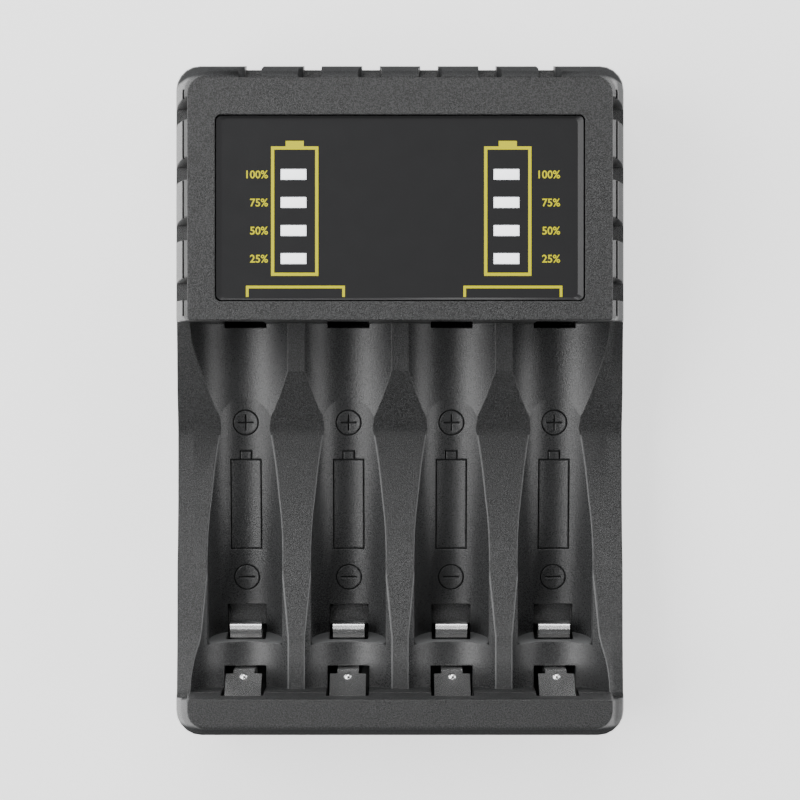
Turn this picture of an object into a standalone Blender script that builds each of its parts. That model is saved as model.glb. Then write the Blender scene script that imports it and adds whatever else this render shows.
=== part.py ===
"""Four slot charger for AA and AAA cells, modelled piece by piece.

The charger lies on its back: +X is its right side, +Y its display end and +Z its front.
The origin is on the table, under the middle of its outline. Lengths are metres.
"""
import math

import bmesh
import bpy
from mathutils import Vector

MM = 0.001

# Cells and the slots that hold them
AA_DIAMETER = 14.5 * MM
AA_LENGTH = 50.5 * MM
AAA_DIAMETER = 10.5 * MM
AAA_SHORTER = 6.0 * MM
AAA_TILT = math.radians(10.0)
CELL_CLEARANCE = 0.1 * MM
SLOT_COUNT = 4
SLOT_LAND = 0.1 * MM
AA_END_ROOM = 1.7 * MM
AAA_END_ROOM = 2.04 * MM
PLATE_RECESS = 0.3 * MM
POCKET_LENGTH = 4.86 * MM

# Housing walls and heights
SIDE_WALL = 2.3 * MM
BAY_SKIN = 1.6 * MM
AAA_SKIN = 1.3 * MM
HOOD_LENGTH = 37.0 * MM
BAR_LENGTH = 6.8 * MM
HOOD_RISE = 3.3 * MM
BAR_RISE = 3.65 * MM
RIDGE_DROP = 3.95 * MM
SHELL_GAP = 0.3 * MM
CORNER_RADIUS = 3.3 * MM
PAD_PROUD = 0.3 * MM
PAD_BASE_RISE = 1.8 * MM
PAD_TOP_DROP = 3.0 * MM
NOTCH_PITCH = 8.3 * MM
NOTCH_WIDTH = 3.3 * MM
NOTCH_DRAFT = 0.4 * MM

# Back cover
FOOT_PROUD = 0.8 * MM
COVER_WALL = 1.6 * MM
COVER_ROUND = 1.2 * MM
FOOT_DIAMETER = 7.0 * MM
FOOT_RECESS = 0.5 * MM
FOOT_INSET = 6.6 * MM
BOSS_DIAMETER = 5.0 * MM
COVER_BOSS_DIAMETER = 6.4 * MM
COVER_BOSS_TOP = 2.6 * MM

# Boards, display and connector
BOARD_THICKNESS = 1.2 * MM
BOARD_STANDOFF = 1.0 * MM
SEAT_GAP = 0.2 * MM
PIN_DIAMETER = 1.6 * MM
PANEL_THICKNESS = 1.0 * MM
PANEL_DEPTH = 0.4 * MM
PANEL_FLARE = 1.0 * MM
WINDOW_SIDE = 4.75 * MM
WINDOW_LOW_MARGIN = 3.1 * MM
WINDOW_HIGH_MARGIN = 5.85 * MM
BAR_LIGHT_WIDTH = 3.55 * MM
BAR_LIGHT_HEIGHT = 1.5 * MM
BAR_LIGHT_PITCH = 3.87 * MM
GAUGE_INSET = 9.82 * MM
GAUGE_DROP = 1.15 * MM
GAUGE_LEVELS = 4
DISPLAY_BOARD_DROP = 6.6 * MM
USB_WIDTH = 8.94 * MM
USB_HEIGHT = 3.16 * MM
USB_LENGTH = 7.3 * MM
PORT_CLEARANCE = 0.33 * MM

# Sheet metal, wires and screws
SHEET = 0.3 * MM
PLATE_SHEET = 0.4 * MM
PLATE_FOOT = 5.7 * MM
CONTACT_WIDTH = 5.1 * MM
NECK_WIDTH = 3.0 * MM
AAA_CONTACT_WIDTH = 4.5 * MM
SHEET_CLEARANCE = 0.45 * MM
LEAD_DIAMETER = 1.0 * MM
SCREW_DIAMETER = 2.0 * MM
SCREW_LENGTH = 8.0 * MM
SCREW_HEAD_DIAMETER = 3.8 * MM
SCREW_HEAD_HEIGHT = 1.5 * MM
SCREW_CLEARANCE = 0.2 * MM

# Parts on the boards
CONTROLLER_SIZE = (6.2 * MM, 5.0 * MM, 1.4 * MM)
SWITCH_SIZE = (4.0 * MM, 4.9 * MM, 1.5 * MM)
INDUCTOR_SIZE = (7.0 * MM, 7.0 * MM, 4.0 * MM)
CAPACITOR_DIAMETER = 6.2 * MM
CAPACITOR_HEIGHT = 7.7 * MM
LAMP_SIZE = (1.6 * MM, 0.8 * MM, 0.6 * MM)
RIBBON_WIDTH = 8.0 * MM
PART_SPACING = 0.9 * MM

# The bay's upper outline from the display end to the bar: share of the bay's length,
# and height above the AA floor as a share of the AA groove's radius
SADDLE = (
    (0.0, 1.17), (0.056, 0.80), (0.118, 0.51), (0.182, 0.31), (0.25, 0.15), (0.324, 0.02),
    (0.383, 0.01), (0.594, 0.163), (0.676, 0.30), (0.837, 0.435), (0.881, 0.53), (1.0, 1.075),
)

# Places that follow from the sizes above
AA_RADIUS = AA_DIAMETER / 2 + CELL_CLEARANCE
AAA_RADIUS = AAA_DIAMETER / 2 + CELL_CLEARANCE
SLOT_PITCH = 2 * AA_RADIUS + SLOT_LAND
SLOT_X = [(index - (SLOT_COUNT - 1) / 2) * SLOT_PITCH for index in range(SLOT_COUNT)]
BAY_LENGTH = AA_LENGTH + AA_END_ROOM
LENGTH = HOOD_LENGTH + BAY_LENGTH + BAR_LENGTH
TOP_Y = LENGTH / 2
BAY_TOP = TOP_Y - HOOD_LENGTH
BAY_END = BAY_TOP - BAY_LENGTH
PLATE_Y = BAY_TOP + PLATE_RECESS
BODY_HALF = SLOT_X[-1] + AA_RADIUS + SIDE_WALL
PAD_HALF = BODY_HALF + PAD_PROUD
TROUGH_HALF = SLOT_X[-1] + AA_RADIUS
COVER_FLOOR = FOOT_PROUD + COVER_WALL
AAA_RUN = AA_LENGTH - AAA_SHORTER + AAA_END_ROOM
AXIS_Z = (COVER_FLOOR + SHELL_GAP + AAA_SKIN + AAA_RUN * math.sin(AAA_TILT)
          + AAA_RADIUS * math.cos(AAA_TILT))
AA_FLOOR = AXIS_Z - AA_RADIUS
RIDGE_TOP = AXIS_Z - RIDGE_DROP
HOOD_TOP = AXIS_Z + AA_RADIUS + HOOD_RISE
BAR_TOP = AXIS_Z + BAR_RISE
BOARD_BOTTOM = COVER_FLOOR + BOARD_STANDOFF
BOARD_TOP = BOARD_BOTTOM + BOARD_THICKNESS
USB_BOTTOM = BOARD_TOP + SEAT_GAP
PARTING = USB_BOTTOM + USB_HEIGHT + PORT_CLEARANCE
COVER_RIM = PARTING - SHELL_GAP
PAD_BASE = PARTING + PAD_BASE_RISE
SKIRT_TOP = PAD_BASE + 2.0 * MM
PAD_TOP = HOOD_TOP - PAD_TOP_DROP
HOOD_ROOF = HOOD_TOP - 3.0 * MM
ROOM_CAP = AA_FLOOR + BAY_SKIN
CORNER_STEPS = 5
AAA_ALONG = Vector((0.0, -math.cos(AAA_TILT), -math.sin(AAA_TILT)))
AAA_UP = Vector((0.0, -math.sin(AAA_TILT), math.cos(AAA_TILT)))
AAA_TOP = Vector((0.0, PLATE_Y, AXIS_Z))
AAA_END = AAA_TOP + AAA_ALONG * AAA_RUN

# Hood outline: half width and far end at the pads' base, core and face
SKIRT_TOP_Y = TOP_Y - 0.8 * MM
SKIRT_END_Y = -TOP_Y + 0.4 * MM
HOOD_FACE_HALF = BODY_HALF - 2.6 * MM
HOOD_FACE_Y = TOP_Y - 3.35 * MM
HOOD_CORE_HALF = HOOD_FACE_HALF + 0.55 * MM
HOOD_CORE_Y = HOOD_FACE_Y + 0.55 * MM
HOOD_WALL = 1.6 * MM
HOOD_ROOM_HALF = HOOD_FACE_HALF - HOOD_WALL / 1.5
HOOD_ROOM_Y = HOOD_FACE_Y - HOOD_WALL / 1.5
INNER_HALF = BODY_HALF - COVER_WALL
BAR_CORE_HALF = BODY_HALF - 1.7 * MM
WINDOW_HALF_WIDTH = HOOD_FACE_HALF - WINDOW_SIDE
WINDOW_Y0 = BAY_TOP + WINDOW_LOW_MARGIN
WINDOW_Y1 = HOOD_FACE_Y - WINDOW_HIGH_MARGIN
WINDOW_FLOOR = HOOD_TOP - PANEL_DEPTH
PANEL_BOTTOM = WINDOW_FLOOR - PANEL_THICKNESS
GAUGE_X = WINDOW_HALF_WIDTH - GAUGE_INSET
GAUGE_MIDDLE = (WINDOW_Y0 + WINDOW_Y1) / 2 - GAUGE_DROP
DISPLAY_BOARD_TOP = HOOD_TOP - DISPLAY_BOARD_DROP
DISPLAY_BOARD_HALF = WINDOW_HALF_WIDTH - 1.9 * MM
DISPLAY_BOARD_Y = (BAY_TOP + 2.0 * MM, HOOD_ROOM_Y - 1.0 * MM)
DISPLAY_POSTS = [(side * (DISPLAY_BOARD_HALF - 2.2 * MM), y) for side in (-1, 1)
                 for y in (DISPLAY_BOARD_Y[0] + 1.6 * MM, DISPLAY_BOARD_Y[1] - 1.6 * MM)]
MAIN_BOARD_STEP = PLATE_Y + PLATE_FOOT + SWITCH_SIZE[1] + 3 * PART_SPACING
HOOD_BOSSES = [(side * (HOOD_ROOM_HALF - 2.1 * MM),
                MAIN_BOARD_STEP + COVER_BOSS_DIAMETER / 2 + 2.4 * MM) for side in (-1, 1)]
BAR_BOSSES = [(side * (SLOT_X[-1] + SLOT_X[-2]) / 2, BAY_END + 2.3 * MM) for side in (-1, 1)]
FOOT_PLACES = [(sx * (BODY_HALF - FOOT_INSET), sy * (TOP_Y - FOOT_INSET))
               for sx in (-1, 1) for sy in (-1, 1)]
MAIN_BOARD_Y = (BAY_TOP + 2.4 * MM, SKIRT_TOP_Y - 2.4 * MM)
MAIN_BOARD_HALF = HOOD_BOSSES[1][0] - COVER_BOSS_DIAMETER / 2 - 0.6 * MM
MAIN_BOARD_WIDE = SLOT_X[-1] + 3.3 * MM
MAIN_POSTS = [(side * (MAIN_BOARD_HALF - 2.0 * MM), MAIN_BOARD_Y[1] - 2.2 * MM)
              for side in (-1, 1)]
MAIN_POSTS += [(side * SLOT_PITCH / 2 * (SLOT_COUNT - 2), MAIN_BOARD_STEP - 2.0 * MM)
               for side in (-1, 1)]
CONTACT_BOARD_Y = (SKIRT_END_Y + 2.0 * MM, BAY_END + 5.3 * MM)
CONTACT_BOARD_HALF = TROUGH_HALF - 2.05 * MM
CONTACT_BOARD_TOP = COVER_FLOOR + 1.8 * MM
CONTACT_BOARD_BOTTOM = CONTACT_BOARD_TOP - 1.0 * MM
CONTACT_POSTS = [(side * (CONTACT_BOARD_HALF - 1.3 * MM), CONTACT_BOARD_Y[0] + 1.6 * MM)
                 for side in (-1, 1)]


def clear_scene():
    """Start from an empty scene."""
    for item in list(bpy.data.objects):
        bpy.data.objects.remove(item, do_unlink=True)


def make_material(name, colour, roughness, metallic=0.0):
    """One Principled material with a plain colour."""
    material = bpy.data.materials.new(name)
    material.use_nodes = True
    shader = material.node_tree.nodes['Principled BSDF']
    shader.inputs['Base Color'].default_value = (*colour, 1.0)
    shader.inputs['Roughness'].default_value = roughness
    shader.inputs['Metallic'].default_value = metallic
    return material


def box_rings(x0, x1, y0, y1, z0, z1):
    """Two square rings that bound a box."""
    corners = ((x0, y0), (x1, y0), (x1, y1), (x0, y1))
    return [[Vector((x, y, z)) for x, y in corners] for z in (z0, z1)]


def rounded_ring(half, y0, y1, z, low_radius, high_radius):
    """Rectangle about X = 0 with its own corner radius at each end along Y."""
    centres = (
        (half - low_radius, y0 + low_radius, low_radius, -90.0),
        (half - high_radius, y1 - high_radius, high_radius, 0.0),
        (high_radius - half, y1 - high_radius, high_radius, 90.0),
        (low_radius - half, y0 + low_radius, low_radius, 180.0),
    )
    ring = []
    for x, y, radius, start in centres:
        for step in range(CORNER_STEPS + 1):
            angle = math.radians(start + 90.0 * step / CORNER_STEPS)
            ring.append(Vector((x + radius * math.cos(angle), y + radius * math.sin(angle), z)))
    return ring


def circle_ring(centre, radius, across, up, segments):
    """Circle about a centre in the plane of two unit vectors."""
    ring = []
    for step in range(segments):
        angle = math.tau * (step + 0.5) / segments
        ring.append(centre + across * radius * math.cos(angle) + up * radius * math.sin(angle))
    return ring


def post_rings(x, y, sizes, segments=16):
    """Upright turned piece: pairs of height and radius from one end to the other."""
    axes = Vector((1.0, 0.0, 0.0)), Vector((0.0, 1.0, 0.0))
    return [circle_ring(Vector((x, y, z)), radius, *axes, segments) for z, radius in sizes]


def prism_rings(outline, x0, x1):
    """Outline of (y, z) points carried from x0 to x1."""
    return [[Vector((x, y, z)) for y, z in outline] for x in (x0, x1)]


def plate_rings(outline, z0, z1):
    """Outline of (x, y) points carried from z0 to z1."""
    return [[Vector((x, y, z)) for x, y in outline] for z in (z0, z1)]


def add_loft(mesh, rings):
    """Skin a list of rings with equal counts and close both ends."""
    loops = [[mesh.verts.new(point) for point in ring] for ring in rings]
    count = len(rings[0])
    for lower, upper in zip(loops, loops[1:]):
        for index in range(count):
            after = (index + 1) % count
            mesh.faces.new((lower[index], lower[after], upper[after], upper[index]))
    mesh.faces.new(reversed(loops[0]))
    mesh.faces.new(loops[-1])


def solid(name, *lofts):
    """Object made of closed lofts that don't touch each other."""
    mesh = bmesh.new()
    for rings in lofts:
        add_loft(mesh, rings)
    bmesh.ops.recalc_face_normals(mesh, faces=mesh.faces)
    data = bpy.data.meshes.new(name)
    mesh.to_mesh(data)
    mesh.free()
    item = bpy.data.objects.new(name, data)
    bpy.context.scene.collection.objects.link(item)
    return item


def combine(body, operation, *tools):
    """Join the tools to a body or cut them from it, one after another, and drop them."""
    for tool in tools:
        modifier = body.modifiers.new(operation, 'BOOLEAN')
        modifier.operation = operation
        modifier.solver = 'EXACT'
        modifier.object = tool
    graph = bpy.context.evaluated_depsgraph_get()
    plain = body.data
    result = bpy.data.meshes.new_from_object(body.evaluated_get(graph))
    body.modifiers.clear()
    body.data = result
    bpy.data.meshes.remove(plain)
    for tool in tools:
        bpy.data.meshes.remove(tool.data)
    return body


def cut(body, *tools):
    """Cut the tools from a body."""
    return combine(body, 'DIFFERENCE', *tools)


def join(body, *tools):
    """Unite the tools with a body."""
    return combine(body, 'UNION', *tools)


def finish(item, material, origin=None, angle=32.0):
    """Give an object its material, its smooth shading and, if it moves, its origin."""
    item.data.name = item.name
    item.data.materials.clear()
    item.data.materials.append(material)
    item.data.shade_smooth()
    item.data.set_sharp_from_angle(angle=math.radians(angle))
    if origin is not None:
        for vertex in item.data.vertices:
            vertex.co -= origin
        item.location = origin
    return item


def saddle_outline():
    """Points (y, z) of the bay's upper outline, from the display end to the bar."""
    def slope(index):
        if index in (0, len(SADDLE) - 1):
            near = min(index, len(SADDLE) - 2)
            return ((SADDLE[near + 1][1] - SADDLE[near][1])
                    / (SADDLE[near + 1][0] - SADDLE[near][0]))
        before, after = SADDLE[index - 1], SADDLE[index + 1]
        return (after[1] - before[1]) / (after[0] - before[0])

    points = []
    for index in range(len(SADDLE) - 1):
        (start, low), (end, high) = SADDLE[index], SADDLE[index + 1]
        width = end - start
        for step in range(2):
            t = step / 2
            rise = ((2 * t ** 3 - 3 * t ** 2 + 1) * low + (3 * t ** 2 - 2 * t ** 3) * high
                    + (t ** 3 - 2 * t ** 2 + t) * width * slope(index)
                    + (t ** 3 - t ** 2) * width * slope(index + 1))
            points.append((start + t * width, max(rise, 0.01)))
    points.append(SADDLE[-1])
    return [(BAY_TOP - share * BAY_LENGTH, AA_FLOOR + rise * AA_RADIUS)
            for share, rise in points]


def aa_cylinders(radius, y0, y1, segments, slots):
    """Cylinders along Y on the axes of AA cells."""
    across, up = Vector((1.0, 0.0, 0.0)), Vector((0.0, 0.0, 1.0))
    return [[circle_ring(Vector((x, y, AXIS_Z)), radius, across, up, segments)
             for y in (y0, y1)] for x in slots]


def aaa_troughs(radius, start, end, steps, slots, rise):
    """U-shaped runs along the AAA cells' tilted axes, open upward."""
    section = [(radius * math.cos(math.pi + math.pi * step / steps),
                radius * math.sin(math.pi + math.pi * step / steps))
               for step in range(steps + 1)]
    section += [(radius, rise), (-radius, rise)]
    lofts = []
    for x in slots:
        rings = []
        for distance in (start, end):
            centre = AAA_TOP + AAA_ALONG * distance + Vector((x, 0.0, 0.0))
            rings.append([centre + Vector((side, 0.0, 0.0)) + AAA_UP * height
                          for side, height in section])
        lofts.append(rings)
    return lofts


def bay_block():
    """Skirt and bay walls: one drafted block under the saddle outline."""
    low, high = CORNER_RADIUS, CORNER_RADIUS
    top = AA_FLOOR + SADDLE[0][1] * AA_RADIUS + 2 * MM
    draft = 0.0625 * (top - SKIRT_TOP)
    body = solid('front_housing', [
        rounded_ring(BODY_HALF, SKIRT_END_Y, SKIRT_TOP_Y, PARTING, low, high),
        rounded_ring(BODY_HALF, SKIRT_END_Y, SKIRT_TOP_Y, SKIRT_TOP, low, high),
        rounded_ring(BODY_HALF - draft, SKIRT_END_Y + draft, SKIRT_TOP_Y - draft, top, low, high),
    ])
    line = saddle_outline()
    far = LENGTH
    bar_side = BAY_END - 0.8 * MM
    above = [(BAY_TOP, SKIRT_TOP)] + line + [(bar_side, line[-1][1]), (bar_side, SKIRT_TOP)]
    above += [(-far, SKIRT_TOP), (-far, far), (far, far), (far, SKIRT_TOP)]
    return cut(body, solid('above_saddle', prism_rings(above, -far, far)))


def hood():
    """Core of the display hood with the ring of grip pads round it."""
    sharp = 0.4 * MM
    corner = CORNER_RADIUS - 0.5 * MM
    core = solid('hood_core', [
        rounded_ring(HOOD_CORE_HALF + 0.2 * MM, BAY_TOP, HOOD_CORE_Y + 0.2 * MM,
                     SKIRT_TOP - 1 * MM, sharp, corner),
        rounded_ring(HOOD_CORE_HALF, BAY_TOP, HOOD_CORE_Y, HOOD_TOP - 0.8 * MM, sharp, corner),
        rounded_ring(HOOD_FACE_HALF, BAY_TOP, HOOD_FACE_Y, HOOD_TOP, sharp,
                     corner - 0.3 * MM),
    ])
    belt = solid('hood_belt', [
        rounded_ring(PAD_HALF, BAY_TOP, TOP_Y, PAD_BASE, sharp, CORNER_RADIUS + 0.1 * MM),
        rounded_ring(PAD_HALF - 0.75 * MM, BAY_TOP, TOP_Y - 1.0 * MM, PAD_BASE + 7.5 * MM,
                     sharp, CORNER_RADIUS + 0.1 * MM),
        rounded_ring(HOOD_CORE_HALF + 0.4 * MM, BAY_TOP, HOOD_CORE_Y + 0.75 * MM, PAD_TOP,
                     sharp, CORNER_RADIUS + 0.1 * MM),
        rounded_ring(HOOD_CORE_HALF - 0.2 * MM, BAY_TOP, HOOD_CORE_Y + 0.1 * MM,
                     HOOD_TOP - 0.85 * MM, sharp, CORNER_RADIUS),
    ])
    return cut(join(core, belt), solid('notches', *notches()))


def notches():
    """Gaps between the pads, down to the skirt and in to the hood's face."""
    def gap(x0, x1, y0, y1, lean_x, lean_y):
        floor = box_rings(x0 + lean_x, x1 - lean_x, y0 + lean_y, y1 - lean_y, SKIRT_TOP,
                          HOOD_TOP)[0]
        return [floor, box_rings(x0, x1, y0, y1, SKIRT_TOP, HOOD_TOP + MM)[1]]

    half = NOTCH_WIDTH / 2
    inner_x = HOOD_FACE_HALF + 0.05 * MM
    inner_y = HOOD_FACE_Y - 0.2 * MM
    lofts = []
    first = BAY_TOP + 4.35 * MM
    for index in range(4):
        y = first + index * NOTCH_PITCH
        for x0, x1 in ((-PAD_HALF - MM, -inner_x), (inner_x, PAD_HALF + MM)):
            lofts.append(gap(x0, x1, y - half, y + half, 0.0, NOTCH_DRAFT))
    for index in range(6):
        x = (index - 2.5) * NOTCH_PITCH
        lofts.append(gap(x - half, x + half, inner_y, TOP_Y + MM, NOTCH_DRAFT, 0.0))
    return lofts


def bar():
    """Bar across the lower end, with the sloped wall behind the contacts."""
    sharp = 0.4 * MM
    back = -TOP_Y
    core = solid('bar_core', [
        rounded_ring(BAR_CORE_HALF + 0.15 * MM, back + 1.3 * MM, BAY_END,
                     SKIRT_TOP - 1 * MM, 2.6 * MM, sharp),
        rounded_ring(BAR_CORE_HALF - 0.1 * MM, back + 1.6 * MM, BAY_END,
                     AXIS_Z, 2.6 * MM, sharp),
        rounded_ring(BAR_CORE_HALF - 0.2 * MM, back + 1.75 * MM, BAY_END - 0.65 * MM,
                     BAR_TOP - 0.3 * MM, 2.6 * MM, sharp),
        rounded_ring(BAR_CORE_HALF - 0.4 * MM, back + 2.0 * MM, BAY_END - 0.8 * MM,
                     BAR_TOP, 2.4 * MM, sharp),
    ])
    side = BAY_END - 0.75 * MM
    belt = solid('bar_belt', [
        rounded_ring(PAD_HALF, back, side, PAD_BASE, CORNER_RADIUS + 0.1 * MM, sharp),
        rounded_ring(PAD_HALF - 0.5 * MM, back + 0.35 * MM, side, PAD_BASE + 4.5 * MM,
                     CORNER_RADIUS + 0.1 * MM, sharp),
        rounded_ring(PAD_HALF - 1.3 * MM, back + 0.9 * MM, side, BAR_TOP - 2.7 * MM,
                     CORNER_RADIUS + 0.1 * MM, sharp),
        rounded_ring(BAR_CORE_HALF - 0.25 * MM, back + 1.8 * MM, side, BAR_TOP - 0.5 * MM,
                     CORNER_RADIUS, sharp),
    ])
    return join(core, belt)


def bay_room():
    """Hollow under the bay: what is left between the undersides of the grooves."""
    y0, y1 = BAY_END - BAY_SKIN - 0.4 * MM, BAY_TOP + HOOD_WALL + 0.4 * MM
    roof = [(y, min(z - BAY_SKIN, ROOM_CAP)) for y, z in saddle_outline()]
    roof[0] = (y1, ROOM_CAP)
    roof[-1] = (y0, ROOM_CAP)
    low = COVER_FLOOR - MM
    room = solid('bay_room', prism_rings([(y1, low)] + roof + [(y0, low)],
                                         -INNER_HALF, INNER_HALF))
    reach = y0 - MM, y1 + MM
    aaa_reach = -6 * MM, AAA_RUN + AAA_SKIN
    for slots in (SLOT_X[::2], SLOT_X[1::2]):
        cut(room,
            solid('aa_skins', *aa_cylinders(AA_RADIUS + BAY_SKIN, *reach, 40, slots)),
            solid('aaa_skins', *aaa_troughs(AAA_RADIUS + AAA_SKIN, *aaa_reach, 14, slots,
                                            AAA_RADIUS)))
    return room


def end_rooms():
    """Hollows under the hood and under the bar."""
    step = SKIRT_TOP - 0.9 * MM
    low = COVER_FLOOR - MM
    sharp = 0.6 * MM
    hood_front = BAY_TOP + HOOD_WALL
    hood_room = solid('hood_room', [
        rounded_ring(INNER_HALF, hood_front, SKIRT_TOP_Y - COVER_WALL, low, sharp, 1.7 * MM),
        rounded_ring(INNER_HALF, hood_front, SKIRT_TOP_Y - COVER_WALL, step - 0.9 * MM,
                     sharp, 1.7 * MM),
        rounded_ring(HOOD_ROOM_HALF, hood_front, HOOD_ROOM_Y, step, sharp, 1.2 * MM),
        rounded_ring(HOOD_ROOM_HALF - 0.1 * MM, hood_front, HOOD_ROOM_Y - 0.1 * MM,
                     HOOD_ROOF, sharp, 1.2 * MM),
    ])
    bar_front = BAY_END - BAY_SKIN
    bar_back = SKIRT_END_Y + COVER_WALL
    bar_room = solid('bar_room', [
        rounded_ring(INNER_HALF, bar_back, bar_front, low, 1.7 * MM, sharp),
        rounded_ring(INNER_HALF, bar_back, bar_front, step - 0.9 * MM, 1.7 * MM, sharp),
        rounded_ring(BAR_CORE_HALF - 1.7 * MM, bar_back, bar_front, step, 1.2 * MM, sharp),
        rounded_ring(BAR_CORE_HALF - 1.8 * MM, bar_back + 0.1 * MM, bar_front,
                     BAR_TOP - 1.8 * MM, 1.2 * MM, sharp),
    ])
    return hood_room, bar_room


def slot_openings():
    """Grooves, pockets and the openings that the contacts stand in."""
    grooves = solid('aa_grooves', *aa_cylinders(AA_RADIUS, BAY_END, BAY_TOP, 48, SLOT_X))
    trough = solid('trough', box_rings(-TROUGH_HALF, TROUGH_HALF, BAY_END, BAY_TOP,
                                       AXIS_Z, AXIS_Z + LENGTH))
    caps = solid('ridge_caps', box_rings(SLOT_X[0], SLOT_X[-1], BAY_END, BAY_TOP,
                                         RIDGE_TOP, AXIS_Z + MM))
    tilted = solid('aaa_grooves', *aaa_troughs(AAA_RADIUS, 9 * MM, AAA_RUN, 20, SLOT_X,
                                               3 * AAA_RADIUS))
    hole_half = AAA_CONTACT_WIDTH / 2 + SHEET_CLEARANCE + 0.1 * MM
    pockets = [box_rings(x - hole_half, x + hole_half, AAA_END.y + 1.5 * MM,
                         AAA_END.y + POCKET_LENGTH, COVER_FLOOR + SHELL_GAP + AAA_SKIN,
                         AA_FLOOR - 3.0 * MM) for x in SLOT_X]
    aaa_holes = [box_rings(x - hole_half, x + hole_half, AAA_END.y - 2.0 * MM,
                           AAA_END.y + 1.9 * MM, COVER_FLOOR - MM, AA_FLOOR - 1.1 * MM)
                 for x in SLOT_X]
    aa_half = CONTACT_WIDTH / 2 + SHEET_CLEARANCE
    aa_holes = [box_rings(x - aa_half, x + aa_half, BAY_END - BAY_SKIN - 0.4 * MM,
                          BAY_END + 3.05 * MM, AA_FLOOR - 3 * MM, BAR_TOP - 1.7 * MM)
                for x in SLOT_X]
    windows = [box_rings(x - aa_half, x + aa_half, BAY_TOP - 0.63 * MM,
                         BAY_TOP + HOOD_WALL + 0.4 * MM, AA_FLOOR - BAY_SKIN - 0.2 * MM,
                         BAR_TOP) for x in SLOT_X]
    return (grooves, trough, caps, tilted, solid('pockets', *pockets),
            solid('aaa_holes', *aaa_holes), solid('aa_holes', *aa_holes),
            solid('windows', *windows))


def window_opening():
    """Recess, seat and opening of the display window."""
    half, y0, y1 = WINDOW_HALF_WIDTH, WINDOW_Y0, WINDOW_Y1
    radius = 0.8 * MM
    recess = solid('window_recess', [
        rounded_ring(half + PANEL_FLARE, y0 - PANEL_FLARE / 2, y1 + PANEL_FLARE / 2, z, radius,
                     radius) for z in (PANEL_BOTTOM, HOOD_TOP + MM)])
    ledge = 1.1 * MM
    opening = solid('window_opening', [
        rounded_ring(half - ledge, y0 + ledge, y1 - ledge, z, radius, radius)
        for z in (HOOD_ROOF - MM, PANEL_BOTTOM + 0.5 * MM)
    ])
    return recess, opening


def front_housing(material):
    """Moulded front: hood, saddle bay with its double grooves, bar and skirt."""
    hollow = bay_room()
    block = solid('groove_block', box_rings(
        -INNER_HALF + 0.6 * MM, INNER_HALF - 0.6 * MM, BAY_END - BAY_SKIN,
        BAY_TOP + HOOD_WALL, COVER_FLOOR + SHELL_GAP, AA_FLOOR + 0.5 * MM))
    body = join(bay_block(), hood(), bar(), block)
    cut(body, hollow, *end_rooms())
    boss_bottom = FOOT_PROUD + 1.6 * MM + COVER_BOSS_TOP + SHELL_GAP
    radius = BOSS_DIAMETER / 2
    hood_posts = [post_rings(x, y, ((boss_bottom, radius), (HOOD_ROOF + 0.5 * MM, radius)))
                  for x, y in HOOD_BOSSES]
    bar_posts = [post_rings(x, y, ((boss_bottom, radius), (ROOM_CAP + 0.5 * MM, radius)))
                 for x, y in BAR_BOSSES]
    pin = PIN_DIAMETER / 2
    shoulder = DISPLAY_BOARD_TOP + SEAT_GAP
    pins = [post_rings(x, y, ((DISPLAY_BOARD_TOP - BOARD_THICKNESS - 0.6 * MM, pin),
                              (shoulder, pin), (shoulder, 2 * pin),
                              (HOOD_ROOF + 0.5 * MM, 2 * pin)), 12)
            for x, y in DISPLAY_POSTS]
    join(body, solid('bosses', *hood_posts, *bar_posts), solid('display_pins', *pins))
    hole = SCREW_DIAMETER / 2 + SCREW_CLEARANCE
    pilots = [post_rings(x, y, ((boss_bottom - MM, hole), (screw_tip() + 0.3 * MM, hole)), 12)
              for x, y in HOOD_BOSSES + BAR_BOSSES]
    cut(body, *slot_openings(), *window_opening(), solid('pilots', *pilots))
    return finish(body, material)


def screw_seat():
    """Height of the shoulder that a cover screw's head bears on."""
    return FOOT_PROUD + 2.2 * MM


def screw_tip():
    """Height of a cover screw's tip."""
    return screw_seat() + SCREW_LENGTH


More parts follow.
